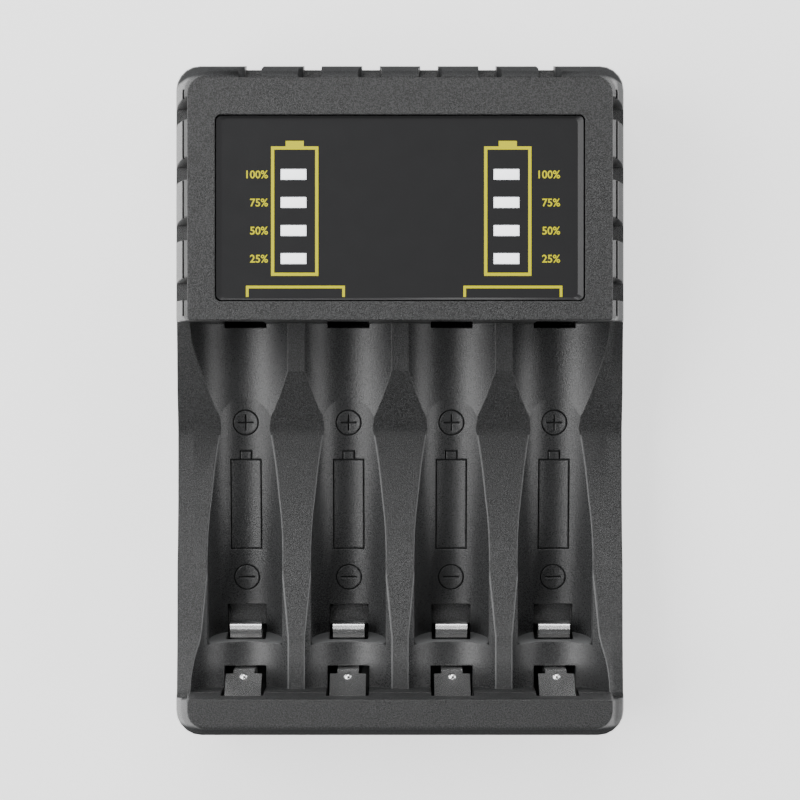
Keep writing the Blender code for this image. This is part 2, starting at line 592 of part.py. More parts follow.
def back_cover(material):
    """Tray that closes the housing from behind."""
    rings = []
    for step in range(4):
        angle = math.pi / 2 * step / 3
        inset = COVER_ROUND * (1 - math.sin(angle)) + 0.3 * MM
        rings.append(rounded_ring(BODY_HALF - inset, SKIRT_END_Y + inset, SKIRT_TOP_Y - inset,
                                  FOOT_PROUD + COVER_ROUND * (1 - math.cos(angle)),
                                  CORNER_RADIUS, CORNER_RADIUS))
    rings.append(rounded_ring(BODY_HALF, SKIRT_END_Y, SKIRT_TOP_Y, COVER_RIM,
                              CORNER_RADIUS, CORNER_RADIUS))
    body = solid('back_cover', rings)
    inner = 1.7 * MM
    cut(body, solid('tray', [
        rounded_ring(INNER_HALF - 0.3 * MM, SKIRT_END_Y + COVER_WALL + 0.3 * MM,
                     SKIRT_TOP_Y - COVER_WALL - 0.3 * MM, COVER_FLOOR, inner, inner),
        rounded_ring(INNER_HALF, SKIRT_END_Y + COVER_WALL, SKIRT_TOP_Y - COVER_WALL,
                     COVER_RIM + MM, inner, inner)]))
    sunk = COVER_FLOOR - 0.5 * MM
    wide = COVER_BOSS_DIAMETER / 2
    boss_top = COVER_FLOOR + COVER_BOSS_TOP
    bosses = [post_rings(x, y, ((sunk, wide), (boss_top, wide)), 20)
              for x, y in HOOD_BOSSES + BAR_BOSSES]
    pin = PIN_DIAMETER / 2
    posts = []
    for places, bottom in ((MAIN_POSTS, BOARD_BOTTOM), (CONTACT_POSTS, CONTACT_BOARD_BOTTOM)):
        seat = bottom - SEAT_GAP
        tip = bottom + BOARD_THICKNESS + 0.5 * MM
        posts += [post_rings(x, y, ((sunk, 2 * pin), (seat, 2 * pin), (seat, pin),
                                    (tip, pin)), 12) for x, y in places]
    tab_out = INNER_HALF - SHELL_GAP
    tabs = []
    for y in (BAY_TOP - 5.0 * MM, BAY_END + 8.2 * MM):
        for x0, x1 in ((-tab_out - MM, 0.8 * MM - tab_out), (tab_out - 0.8 * MM, tab_out + MM)):
            tabs.append(box_rings(x0, x1, y - 3 * MM, y + 3 * MM, COVER_FLOOR + 2 * MM,
                                  COVER_RIM))
        for x0, x1 in ((-tab_out, 0.8 * MM - tab_out), (tab_out - 0.8 * MM, tab_out)):
            tabs.append(box_rings(x0, x1, y - 3 * MM, y + 3 * MM, COVER_FLOOR + 2.5 * MM,
                                  PARTING + 0.9 * MM))
    join(body, solid('cover_bosses', *bosses), solid('cover_posts', *posts),
         solid('tab_roots', *tabs[0:2], *tabs[4:6]), solid('tabs', *tabs[2:4], *tabs[6:8]))
    bore = SCREW_HEAD_DIAMETER / 2 + 0.3 * MM
    hole = SCREW_DIAMETER / 2 + SCREW_CLEARANCE
    under = FOOT_PROUD - MM
    bores = [post_rings(x, y, ((under, bore), (screw_seat(), bore), (screw_seat(), hole),
                               (boss_top + MM, hole)), 20) for x, y in HOOD_BOSSES + BAR_BOSSES]
    recesses = [post_rings(x, y, ((under, FOOT_DIAMETER / 2 + 0.3 * MM),
                                  (FOOT_PROUD + FOOT_RECESS, FOOT_DIAMETER / 2 + 0.3 * MM)), 24)
                for x, y in FOOT_PLACES]
    port_half = USB_WIDTH / 2 + PORT_CLEARANCE
    port = solid('port', box_rings(-port_half, port_half, SKIRT_TOP_Y - 3 * MM, TOP_Y,
                                   USB_BOTTOM - PORT_CLEARANCE, COVER_RIM + MM))
    cut(body, solid('screw_bores', *bores), solid('foot_recesses', *recesses), port)
    return finish(body, material)


def drill(board, places, z0, z1):
    """Cut the holes for locating pins through a board."""
    radius = PIN_DIAMETER / 2 + 0.4 * MM
    return cut(board, solid('holes', *[post_rings(x, y, ((z0 - MM, radius), (z1 + MM, radius)),
                                                  12) for x, y in places]))


def boards(green):
    """Main board, contact board and display board."""
    y0, y1 = MAIN_BOARD_Y
    wide, half, step = MAIN_BOARD_WIDE, MAIN_BOARD_HALF, MAIN_BOARD_STEP
    outline = [(-wide, y0), (wide, y0), (wide, step), (half, step), (half, y1), (-half, y1),
               (-half, step), (-wide, step)]
    main = solid('main_board', plate_rings(outline, BOARD_BOTTOM, BOARD_TOP))
    finish(drill(main, MAIN_POSTS, BOARD_BOTTOM, BOARD_TOP), green)

    y0, y1 = CONTACT_BOARD_Y
    half = CONTACT_BOARD_HALF
    strip = solid('contact_board', box_rings(-half, half, y0, y1, CONTACT_BOARD_BOTTOM,
                                             CONTACT_BOARD_TOP))
    clear = COVER_BOSS_DIAMETER / 2 + SHELL_GAP
    reach = BOARD_THICKNESS + MM
    cut(strip, solid('boss_notches', *[
        post_rings(x, y, ((CONTACT_BOARD_BOTTOM - reach, clear),
                          (CONTACT_BOARD_TOP + reach, clear)), 20) for x, y in BAR_BOSSES]))
    finish(drill(strip, CONTACT_POSTS, CONTACT_BOARD_BOTTOM, CONTACT_BOARD_TOP), green)

    y0, y1 = DISPLAY_BOARD_Y
    half = DISPLAY_BOARD_HALF
    bottom = DISPLAY_BOARD_TOP - BOARD_THICKNESS
    display = solid('display_board', box_rings(-half, half, y0, y1, bottom, DISPLAY_BOARD_TOP))
    finish(drill(display, DISPLAY_POSTS, bottom, DISPLAY_BOARD_TOP), green)


def display(window, guide, lamp):
    """Window panel, light guides and one lamp under each bar."""
    fit = SEAT_GAP
    levels = [GAUGE_MIDDLE + (index - (GAUGE_LEVELS - 1) / 2) * BAR_LIGHT_PITCH
              for index in range(GAUGE_LEVELS)]
    bottom = PANEL_BOTTOM + fit
    half, y0, y1, flare = WINDOW_HALF_WIDTH, WINDOW_Y0, WINDOW_Y1, PANEL_FLARE
    radius = 0.7 * MM
    panel = solid('display_window', [
        rounded_ring(half + flare - fit, y0 - flare / 2 + fit, y1 + flare / 2 - fit, z, radius,
                     radius) for z in (bottom, HOOD_TOP - 0.1 * MM)])
    cut(panel, solid('dish', [
        rounded_ring(half, y0, y1, WINDOW_FLOOR, radius, radius),
        rounded_ring(half + flare, y0 - flare / 2, y1 + flare / 2, HOOD_TOP, radius, radius)]))
    half_x, half_y = BAR_LIGHT_WIDTH / 2, BAR_LIGHT_HEIGHT / 2
    cut(panel, solid('bars', *[
        box_rings(x - half_x, x + half_x, y - half_y, y + half_y, bottom - MM,
                  WINDOW_FLOOR + MM) for x in (-GAUGE_X, GAUGE_X) for y in levels]))
    finish(panel, window)
    finger_x, finger_y = half_x - 0.1 * MM, half_y - 0.1 * MM
    slab_bottom, slab_top = DISPLAY_BOARD_TOP + 1.3 * MM, HOOD_ROOF - 0.4 * MM
    lamp_bottom = DISPLAY_BOARD_TOP + fit
    for side, x in (('left', -GAUGE_X), ('right', GAUGE_X)):
        y0, y1 = levels[0] - 3.6 * MM, levels[-1] + 3.6 * MM
        body = solid('light_guide_' + side, box_rings(x - 2.8 * MM, x + 2.8 * MM, y0, y1,
                                                      slab_bottom, slab_top))
        fingers = [box_rings(x - finger_x, x + finger_x, y - finger_y, y + finger_y,
                             slab_top - 0.5 * MM, WINDOW_FLOOR - 0.05 * MM) for y in levels]
        feet = [box_rings(x - MM, x + MM, y - 0.6 * MM, y + 0.6 * MM, lamp_bottom,
                          slab_bottom + 0.5 * MM) for y in (y0 + MM, y1 - MM)]
        finish(join(body, solid('fingers', *fingers), solid('feet', *feet)), guide)
        for index, y in enumerate(levels):
            chip = solid('lamp_{}_{}'.format(side, index + 1), box_rings(
                x - LAMP_SIZE[0] / 2, x + LAMP_SIZE[0] / 2, y - LAMP_SIZE[1] / 2,
                y + LAMP_SIZE[1] / 2, lamp_bottom, lamp_bottom + LAMP_SIZE[2]))
            finish(chip, lamp)


def usb_socket(material):
    """USB inlet: a rounded shell round a flat tongue, open at its mouth."""
    mouth = SKIRT_TOP_Y - 0.6 * MM
    rear = mouth - USB_LENGTH
    middle = Vector((0.0, 0.0, USB_BOTTOM + USB_HEIGHT / 2))

    def oval(inset, y):
        radius = USB_HEIGHT / 2 - inset
        reach = USB_WIDTH / 2 - inset - radius
        ring = []
        for side, start in ((1, -90.0), (-1, 90.0)):
            for step in range(7):
                angle = math.radians(start + 180.0 * step / 6)
                ring.append(middle + Vector((side * reach + radius * math.cos(angle), y,
                                             radius * math.sin(angle))))
        return ring

    shell = solid('usb_socket', [oval(0.0, rear), oval(0.0, mouth)])
    cut(shell, solid('mouth', [oval(0.3 * MM, rear + 1.2 * MM), oval(0.3 * MM, mouth + MM)]))
    tongue = box_rings(-3.35 * MM, 3.35 * MM, rear + 0.6 * MM, mouth - 0.7 * MM,
                       middle.z - 0.35 * MM, middle.z + 0.35 * MM)
    return finish(join(shell, solid('tongue', tongue)), material)


def fillet_path(corners, steps=4):
    """Points (y, z) of a bent line; each corner is a (y, z, bend radius)."""
    points = [Vector(corners[0][:2])]
    for before, corner, after in zip(corners, corners[1:], corners[2:]):
        at = Vector(corner[:2])
        arrive = (at - Vector(before[:2])).normalized()
        leave = (Vector(after[:2]) - at).normalized()
        turn = arrive.angle(leave)
        radius = corner[2]
        start = at - arrive * radius * math.tan(turn / 2)
        inward = (leave - arrive * arrive.dot(leave)).normalized()
        for step in range(steps + 1):
            angle = turn * step / steps
            points.append(start + arrive * radius * math.sin(angle)
                          + inward * radius * (1 - math.cos(angle)))
    points.append(Vector(corners[-1][:2]))
    return points


def strip_rings(x, path, thickness, width_at):
    """Sheet strip about a bent line; its width is a function of its height."""
    rings = []
    for index, point in enumerate(path):
        before, after = path[max(index - 1, 0)], path[min(index + 1, len(path) - 1)]
        along = (after - before).normalized()
        normal = Vector((-along.y, along.x)) * thickness / 2
        half = width_at(point.y) / 2
        ring = []
        for side, face in ((-1, -1), (1, -1), (1, 1), (-1, 1)):
            spot = point + normal * face
            ring.append(Vector((x + side * half, spot.x, spot.y)))
        rings.append(ring)
    return rings


def step_at(path, height):
    """The path with two points close below and above a height, where a strip widens."""
    for index, (before, after) in enumerate(zip(path, path[1:])):
        if before.y < height < after.y:
            rise = after.y - before.y
            pair = [before.lerp(after, (height + side * 0.02 * MM - before.y) / rise)
                    for side in (-1, 1)]
            return path[:index + 1] + pair + path[index + 1:]
    return path


def contacts(metal):
    """Positive plates at the hood and sprung negative strips at the other end."""
    foot = BOARD_TOP + SEAT_GAP + PLATE_SHEET / 2
    plate = fillet_path([
        (PLATE_Y + PLATE_SHEET / 2, BAR_TOP - 0.5 * MM),
        (PLATE_Y + PLATE_SHEET / 2, foot, 0.8 * MM),
        (PLATE_Y + PLATE_FOOT, foot)])
    base = CONTACT_BOARD_TOP + SEAT_GAP + SHEET / 2
    touch = AA_FLOOR + 4.4 * MM
    aa_line = step_at(fillet_path([
        (BAY_END - 1.4 * MM, base),
        (BAY_END + 2.65 * MM, base, 1.5 * MM),
        (BAY_END + 2.65 * MM, touch - 0.7 * MM, 0.6 * MM),
        (BAY_END - 0.7 * MM, touch + 4.3 * MM, 0.5 * MM),
        (BAY_END - 1.5 * MM, touch + 4.2 * MM)]), touch)
    rest = AAA_END.y
    low = base - 0.1 * MM
    aaa_line = fillet_path([
        (rest - 4.1 * MM, low),
        (rest + 1.75 * MM, low, 0.8 * MM),
        (rest + 2.55 * MM, AAA_END.z - 1.3 * MM, 1.0 * MM),
        (rest + 2.25 * MM, AAA_END.z, 0.4 * MM),
        (rest + 1.15 * MM, AAA_END.z + 0.45 * MM, 0.3 * MM),
        (rest + 1.05 * MM, AAA_END.z - 0.7 * MM, 0.25 * MM),
        (rest + 0.3 * MM, AAA_END.z - 0.6 * MM)])
    for index, x in enumerate(SLOT_X):
        number = str(index + 1)
        item = solid('positive_contact_' + number, strip_rings(
            x, plate, PLATE_SHEET, lambda height: CONTACT_WIDTH + 0.3 * MM))
        finish(item, metal)
        item = solid('aa_contact_' + number, strip_rings(
            x, aa_line, SHEET, lambda height: NECK_WIDTH if height < touch
            else CONTACT_WIDTH))
        dimple = bmesh_dimple(Vector((x, BAY_END + 1.75 * MM, touch + 0.35 * MM)))
        finish(join(item, dimple), metal, Vector((x, BAY_END, base)))
        item = solid('aaa_contact_' + number, strip_rings(
            x, aaa_line, SHEET, lambda height: AAA_CONTACT_WIDTH))
        finish(item, metal, Vector((x, rest, low)))


def bmesh_dimple(centre):
    """Small ball whose cap stands proud of a contact strip."""
    mesh = bmesh.new()
    bmesh.ops.create_uvsphere(mesh, u_segments=12, v_segments=8, radius=0.75 * MM)
    bmesh.ops.translate(mesh, verts=mesh.verts, vec=centre)
    data = bpy.data.meshes.new('dimple')
    mesh.to_mesh(data)
    mesh.free()
    item = bpy.data.objects.new('dimple', data)
    bpy.context.scene.collection.objects.link(item)
    return item


def tube_rings(route, radius, segments=8):
    """Round wire along a smooth curve through its route's points."""
    points = []
    for index in range(len(route) - 1):
        p0 = route[max(index - 1, 0)]
        p1, p2 = route[index], route[index + 1]
        p3 = route[min(index + 2, len(route) - 1)]
        for step in range(4):
            t = step / 4
            points.append(0.5 * (2 * p1 + (p2 - p0) * t + (2 * p0 - 5 * p1 + 4 * p2 - p3) * t ** 2
                                 + (3 * p1 - p0 - 3 * p2 + p3) * t ** 3))
    points.append(route[-1])
    rings = []
    for index, point in enumerate(points):
        along = (points[min(index + 1, len(points) - 1)] - points[max(index - 1, 0)]).normalized()
        across = along.cross(Vector((0.0, 0.0, 1.0))).normalized()
        rings.append(circle_ring(point, radius, across, across.cross(along), segments))
    return rings


def negative_leads(sleeve):
    """Insulated leads from the contact board to the main board, under the bay."""
    radius = LEAD_DIAMETER / 2
    start_z = CONTACT_BOARD_TOP + SEAT_GAP + radius
    end_z = BOARD_TOP + SEAT_GAP + radius
    low = COVER_FLOOR + 1.1 * MM
    y_start = CONTACT_BOARD_Y[1]
    channel = SLOT_PITCH
    inner = 1.2 * MM
    for index, x in enumerate(SLOT_X):
        side = -1 if x < 0 else 1
        outer = abs(x) > SLOT_PITCH
        at = side * (channel if outer else inner)
        first = side * (channel - 3.9 * MM) if outer else at
        second = side * (channel - 3.2 * MM) if outer else at
        third = side * (channel - 1.6 * MM) if outer else at
        route = [
            Vector((first, y_start - 1.7 * MM, start_z)),
            Vector((second, y_start - 0.5 * MM, start_z)),
            Vector((third, y_start + 1.1 * MM, start_z - 0.7 * MM)),
            Vector((at, y_start + 3.3 * MM, low)),
            Vector((at, BAY_END / 2, low)),
            Vector((at, BAY_TOP - 3.5 * MM, low)),
            Vector((at, BAY_TOP + 1.2 * MM, end_z - 0.25 * MM)),
            Vector((at, BAY_TOP + 4.5 * MM, end_z)),
        ]
        finish(solid('negative_lead_' + str(index + 1), tube_rings(route, radius)), sleeve, None,
               60.0)


def board_parts(chip, wound, can, film):
    """Components on the main board and the ribbon up to the display board."""
    seat = BOARD_TOP + SEAT_GAP
    row = MAIN_BOARD_STEP + PART_SPACING

    def block(name, x, y, size, material):
        width, length, height = size
        return finish(solid(name, box_rings(x - width / 2, x + width / 2, y, y + length,
                                            seat, seat + height)), material)

    def can_at(name, x, y):
        radius = CAPACITOR_DIAMETER / 2
        edge = 0.5 * MM
        rim = seat + CAPACITOR_HEIGHT - edge
        finish(solid(name, post_rings(x, y, ((seat, radius), (rim, radius),
                                             (rim + edge, radius - edge)), 20)), can)

    controller_half = CONTROLLER_SIZE[0] / 2
    block('charge_controller', 0.0, row, CONTROLLER_SIZE, chip)
    block('power_inductor', controller_half + PART_SPACING + INDUCTOR_SIZE[0] / 2, row,
          INDUCTOR_SIZE, wound)
    for index, x in enumerate(SLOT_X):
        block('slot_switch_' + str(index + 1), x, row - 2 * PART_SPACING - SWITCH_SIZE[1],
              SWITCH_SIZE, chip)
    can_at('output_capacitor', -controller_half - PART_SPACING - CAPACITOR_DIAMETER / 2,
           row + CAPACITOR_DIAMETER / 2)
    can_at('input_capacitor', MAIN_BOARD_HALF - CAPACITOR_DIAMETER,
           MAIN_BOARD_Y[1] - 1.6 * CAPACITOR_DIAMETER / 2)
    top = DISPLAY_BOARD_TOP - BOARD_THICKNESS - SEAT_GAP - SHEET / 2
    y = MAIN_BOARD_Y[1] - 4.5 * MM
    flat = RIBBON_WIDTH / 2
    line = fillet_path([(y - flat, seat + SHEET / 2), (y, seat + SHEET / 2, 1.2 * MM),
                        (y, top, 1.2 * MM), (y - flat, top)])
    finish(solid('board_ribbon', strip_rings(RIBBON_WIDTH - MAIN_BOARD_HALF, line, SHEET,
                                             lambda height: RIBBON_WIDTH)), film)


def cover_screws(steel):
    """Pan head screws with a cross recess, driven from behind."""
    radius, head = SCREW_DIAMETER / 2, SCREW_HEAD_DIAMETER / 2
    seat = screw_seat() - SEAT_GAP
    under = seat - SCREW_HEAD_HEIGHT
    for index, (x, y) in enumerate(HOOD_BOSSES + BAR_BOSSES):
        item = solid('cover_screw_' + str(index + 1), post_rings(x, y, (
            (under, head * 0.75), (under + 0.4 * MM, head * 0.95), (under + 0.8 * MM, head),
            (seat, head), (seat, radius), (screw_tip() - 0.6 * MM, radius),
            (screw_tip(), radius * 0.4)), 16))
        arm, reach = 0.22 * MM, 0.95 * MM
        deep = under + 0.7 * MM
        cut(item, solid('slot', box_rings(x - reach, x + reach, y - arm, y + arm, under - MM,
                                          deep)),
            solid('cross_slot', box_rings(x - arm, x + arm, y - reach, y + reach, under - MM,
                                          deep)))
        finish(item, steel)


def rubber_feet(rubber):
    """Round feet glued into the cover's recesses."""
    radius = FOOT_DIAMETER / 2
    top = FOOT_PROUD + FOOT_RECESS - SEAT_GAP
    for index, (x, y) in enumerate(FOOT_PLACES):
        finish(solid('rubber_foot_' + str(index + 1), post_rings(x, y, (
            (0.0, radius - 0.3 * MM), (0.3 * MM, radius), (top, radius)), 24)), rubber)


def main():
    """Build every piece."""
    clear_scene()
    plastic = make_material('black_abs', (0.085, 0.087, 0.09), 0.55)
    metal = make_material('nickel_steel', (0.72, 0.72, 0.73), 0.22, 1.0)
    green = make_material('board_green', (0.02, 0.13, 0.06), 0.45)
    chip = make_material('chip_epoxy', (0.02, 0.02, 0.022), 0.4)
    front_housing(plastic)
    back_cover(plastic)
    boards(green)
    display(make_material('smoked_window', (0.035, 0.035, 0.037), 0.25),
            make_material('light_guide', (0.85, 0.86, 0.88), 0.35),
            make_material('lamp', (0.9, 0.88, 0.7), 0.3))
    usb_socket(metal)
    contacts(metal)
    negative_leads(make_material('lead_sleeve', (0.02, 0.02, 0.02), 0.5))
    board_parts(chip, make_material('ferrite', (0.12, 0.12, 0.125), 0.6),
                make_material('capacitor_can', (0.6, 0.6, 0.62), 0.3, 0.9),
                make_material('ribbon_film', (0.75, 0.75, 0.72), 0.4))
    cover_screws(make_material('screw_steel', (0.3, 0.3, 0.31), 0.3, 1.0))
    rubber_feet(make_material('foot_rubber', (0.03, 0.03, 0.03), 0.85))


main()
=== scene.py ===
"""Looks of a slim charger for AA and AAA cells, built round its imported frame."""

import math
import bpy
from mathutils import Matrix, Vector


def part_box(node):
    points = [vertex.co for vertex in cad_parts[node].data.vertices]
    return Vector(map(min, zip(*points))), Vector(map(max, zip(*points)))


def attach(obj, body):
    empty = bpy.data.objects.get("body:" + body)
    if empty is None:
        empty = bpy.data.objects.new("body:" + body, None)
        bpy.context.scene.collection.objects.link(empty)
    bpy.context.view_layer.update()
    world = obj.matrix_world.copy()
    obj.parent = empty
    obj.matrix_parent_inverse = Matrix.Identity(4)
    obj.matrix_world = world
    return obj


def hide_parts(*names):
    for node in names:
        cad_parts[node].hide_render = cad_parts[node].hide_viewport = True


bl_info = {
    "name": "Cell charger looks",
    "version": (1, 0, 0),
    "blender": (4, 5, 0),
    "location": "3D View > Sidebar > Charger",
    "description": "Gives a four slot charger its plastic, print, bright contacts and stage",
    "category": "Object",
}

import bpy
from bpy.props import FloatProperty, FloatVectorProperty, PointerProperty
from mathutils import Vector

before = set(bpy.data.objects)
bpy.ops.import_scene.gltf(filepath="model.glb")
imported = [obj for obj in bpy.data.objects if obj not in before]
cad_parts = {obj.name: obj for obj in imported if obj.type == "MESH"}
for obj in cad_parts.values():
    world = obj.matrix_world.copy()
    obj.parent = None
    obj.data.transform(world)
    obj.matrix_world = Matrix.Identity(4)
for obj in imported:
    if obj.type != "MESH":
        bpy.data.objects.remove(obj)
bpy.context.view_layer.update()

MM = 0.001
PICTURE_WIDTH = 800
BODY = "charger"
SLOTS = range(1, 5)
WELD = 0.002 * MM

# Places read from the frame
HOUSING_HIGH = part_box("front_housing")[1]
PANEL_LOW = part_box("display_window")[0]
SLOT_X = [sum(corner.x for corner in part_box(f"aa_contact_{slot}")) / 2 for slot in SLOTS]
GUIDE_BOXES = [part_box("light_guide_" + side) for side in ("left", "right")]
GAUGE_X = [(low.x + high.x) / 2 for low, high in GUIDE_BOXES]
LAMP_BOXES = [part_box(f"lamp_left_{level}") for level in SLOTS]
LEVEL_Y = [(low.y + high.y) / 2 for low, high in LAMP_BOXES]
DISH_Z = GUIDE_BOXES[0][1].z + 0.05 * MM
END_RIM = HOUSING_HIGH.y - 2.0 * MM
SIDE_RIM = HOUSING_HIGH.x - 1.6 * MM

# The open bay along Y, the end of its steep slope and the land between the grooves
GROOVE_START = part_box("positive_contact_1")[0].y
BAY_TOP = GROOVE_START - 0.3 * MM
BAY_END = BAY_TOP - 52.2 * MM
SLOPE_END = GROOVE_START - 16.3 * MM
LAND_Z = HOUSING_HIGH.z - 17.5 * MM

# The bay's curved top from the display end to the bar: share of its length, and height
# above the groove floors as a share of the groove's radius
SADDLE = (
    (0.0, 1.17), (0.056, 0.80), (0.118, 0.51), (0.182, 0.31), (0.25, 0.15), (0.324, 0.02),
    (0.383, 0.01), (0.594, 0.163), (0.676, 0.30), (0.837, 0.435), (0.881, 0.53), (1.0, 1.075),
)

# The round grooves that hold an AA cell and, tilted below it, an AAA cell
AA_RADIUS = 7.35 * MM
AAA_RADIUS = 5.35 * MM
AAA_TILT = math.radians(10.0)
AXIS_Z = HOUSING_HIGH.z - 10.65 * MM
AA_ALONG = Vector((0.0, -1.0, 0.0))
AAA_ALONG = Vector((0.0, -math.cos(AAA_TILT), -math.sin(AAA_TILT)))

# The housing's finishes for the grooves and for the marks in them; the marks' finish is darker
# and less glossy, painted shade in the sunk lines
GROOVE_FINISH, MARK_SHADE_FINISH = 1, 2


def deselect():
    """Leave nothing selected, in object mode."""
    if bpy.context.object and bpy.context.object.mode != "OBJECT":
        bpy.ops.object.mode_set(mode="OBJECT")
    bpy.ops.object.select_all(action="DESELECT")


def activate(item):
    """Make one object the selected and active one."""
    deselect()
    item.select_set(True)
    bpy.context.view_layer.objects.active = item


def edit(item):
    """Enter edit mode on an object with its whole mesh selected."""
    activate(item)
    bpy.ops.object.mode_set(mode="EDIT")
    bpy.ops.mesh.select_all(action="SELECT")


def leave():
    """Go back to object mode with the active object's place in its mesh."""
    bpy.ops.object.mode_set(mode="OBJECT")
    bpy.ops.object.transform_apply(location=True, rotation=True, scale=True)
    return bpy.context.object


def merged_copy(node, name, flatten=0.5):
    """A CAD node's shape as a new piece, its triangles joined where level within degrees."""
    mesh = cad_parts[node].data.copy()
    piece = bpy.data.objects.new(name, mesh)
    bpy.context.scene.collection.objects.link(piece)
    edit(piece)
    bpy.ops.mesh.remove_doubles(threshold=WELD)
    bpy.ops.mesh.dissolve_limited(angle_limit=math.radians(flatten))
    return leave()


def settle(piece, material, node=None, body=BODY, angle=30.0, even=False):
    """Finish a piece: shading, material, body, and hiding the node it stands for."""
    activate(piece)
    bpy.ops.object.shade_smooth_by_angle(angle=math.radians(angle))
    if even:
        apply_modifier(piece, "WEIGHTED_NORMAL", keep_sharp=True)
    piece.data.materials.clear()
    piece.data.materials.append(material)
    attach(piece, body)
    if node:
        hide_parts(node)


def square_part(vector, along):
    """The part of a vector that is square to a direction."""
    return vector - along * vector.dot(along)


def groove_centre(face):
    """The axis point and direction that a groove's wall turns about, or nothing."""
    tilt_slack, slack = 0.02, 0.6 * MM
    for along, radius in ((AA_ALONG, AA_RADIUS), (AAA_ALONG, AAA_RADIUS)):
        if abs(face.normal.dot(along)) > tilt_slack:
            continue
        for x in SLOT_X:
            start = Vector((x, GROOVE_START, AXIS_Z))
            spot = face.center + face.normal * radius - start
            if square_part(spot, along).length < slack:
                return start, along
    return None


def saddle_height(y):
    """Height of the bay's curved top at a place along Y."""
    just_inside, least_rise = 0.9999, 0.01
    share = min(max((BAY_TOP - y) / (BAY_TOP - BAY_END), 0.0), just_inside)
    index = max(i for i, (start, _) in enumerate(SADDLE) if start <= share)

    def slope(i):
        (before, low), (after, high) = SADDLE[max(i - 1, 0)], SADDLE[min(i + 1, len(SADDLE) - 1)]
        return (high - low) / (after - before)

    (start, low), (end, high) = SADDLE[index], SADDLE[index + 1]
    width = end - start
    t = (share - start) / width
    rise = ((2 * t ** 3 - 3 * t ** 2 + 1) * low + (3 * t ** 2 - 2 * t ** 3) * high
            + (t ** 3 - 2 * t ** 2 + t) * width * slope(index)
            + (t ** 3 - t ** 2) * width * slope(index + 1))
    return AXIS_Z - AA_RADIUS + max(rise, least_rise) * AA_RADIUS


def saddle_normal(y):
    """Direction the bay's curved top faces; its slope at the display end stays even."""
    step, blend, clear, on_slope = 0.4 * MM, 2 * MM, 3.5 * MM, 8 * MM

    def facing(place):
        rise = saddle_height(place + step) - saddle_height(place - step)
        return Vector((0.0, -rise, 2 * step)).normalized()

    steady = min(max((y - SLOPE_END + blend / 2) / blend, 0.0), 1.0)
    beyond = facing(min(y, SLOPE_END - clear))
    return beyond.lerp(facing(SLOPE_END + on_slope), steady).normalized()


def on_saddle(face):
    """Whether a face is part of the bay's curved top."""
    sideways, upward, slack = 0.01, 0.05, 0.45 * MM
    return (abs(face.normal.x) < sideways and face.normal.z > upward
            and BAY_END < face.center.y < BAY_TOP and groove_centre(face) is None
            and abs(face.center.z - saddle_height(face.center.y)) < slack)


def level_sides(piece):
    """Lift the curved top's two side strips to the land between the grooves."""
    inner = SIDE_RIM - MM
    lowest, highest = LAND_Z - 0.5 * MM, LAND_Z + 0.001 * MM
    middle, reach = SLOPE_END - 4 * MM, 6 * MM
    edit(piece)
    bpy.ops.mesh.select_all(action="DESELECT")
    bpy.ops.object.mode_set(mode="OBJECT")
    for vertex in piece.data.vertices:
        spot = vertex.co
        if (abs(spot.x) > inner and lowest < spot.z < highest
                and abs(spot.y - middle) < reach):
            spot.z = LAND_Z
            vertex.select = True
    bpy.ops.object.mode_set(mode="EDIT")
    bpy.ops.mesh.remove_doubles(threshold=WELD)
    leave()


def steady_flats(piece, area):
    """Flat shading on every face that lies level with one larger than the area."""
    level = 0.9999
    mesh = piece.data
    normals = [corner.vector.copy() for corner in mesh.corner_normals]
    large = [face.normal.copy() for face in mesh.polygons if face.area > area]
    for face in mesh.polygons:
        if any(face.normal.dot(normal) > level for normal in large):
            for loop in face.loop_indices:
                normals[loop] = face.normal.copy()
    mesh.normals_split_custom_set(normals)


def shorten_foot(spring, gap):
    """Draw the foot's end back, so that it clears the AA leaf at the end of its travel."""
    slack = 0.01 * MM
    end = min(vertex.co.y for vertex in spring.data.vertices)
    for vertex in spring.data.vertices:
        if vertex.co.y < end + slack:
            vertex.co.y += gap


def smooth_bay(piece, polished, engraved_shade):
    """Exact normals on the grooves and curved top, finishes for the grooves and marks, the
    marks' finish darker as painted shade.
    """
    marked_reach = AAA_RADIUS + 0.04 * MM
    mesh = piece.data
    mesh.materials.append(polished)
    mesh.materials.append(engraved_shade)
    normals = [corner.vector.copy() for corner in mesh.corner_normals]
    for face in mesh.polygons:
        centre = groove_centre(face)
        if centre:
            start, along = centre
            reach = square_part(face.center - start, along).length
            marked = along == AAA_ALONG and reach > marked_reach
            face.material_index = MARK_SHADE_FINISH if marked else GROOVE_FINISH
        elif not on_saddle(face):
            continue
        for loop in face.loop_indices:
            spot = mesh.vertices[mesh.loops[loop].vertex_index].co
            if centre:
                normals[loop] = square_part(start - spot, along).normalized()
            else:
                normals[loop] = saddle_normal(spot.y)
    mesh.normals_split_custom_set(normals)


def apply_modifier(piece, kind, **settings):
    """Add one modifier with its settings and apply it."""
    activate(piece)
    modifier = piece.modifiers.new(kind.title(), kind)
    for key, value in settings.items():
        setattr(modifier, key, value)
    bpy.ops.object.modifier_apply(modifier=modifier.name)


def round_edges(piece, width, angle=30.0):
    """Round the edges that are sharper than an angle."""
    apply_modifier(piece, "BEVEL", width=width, segments=2, limit_method="ANGLE",
                   angle_limit=math.radians(angle))


def combine(piece, other, operation):
    """Boolean of a piece with a helper, which is then removed."""
    apply_modifier(piece, "BOOLEAN", operation=operation, solver="EXACT", object=other)
    bpy.data.meshes.remove(other.data)


def hollow(wall):
    """Keep only a border of the flat mesh being edited."""
    bpy.ops.mesh.inset(thickness=wall)
    bpy.ops.mesh.delete(type="FACE")


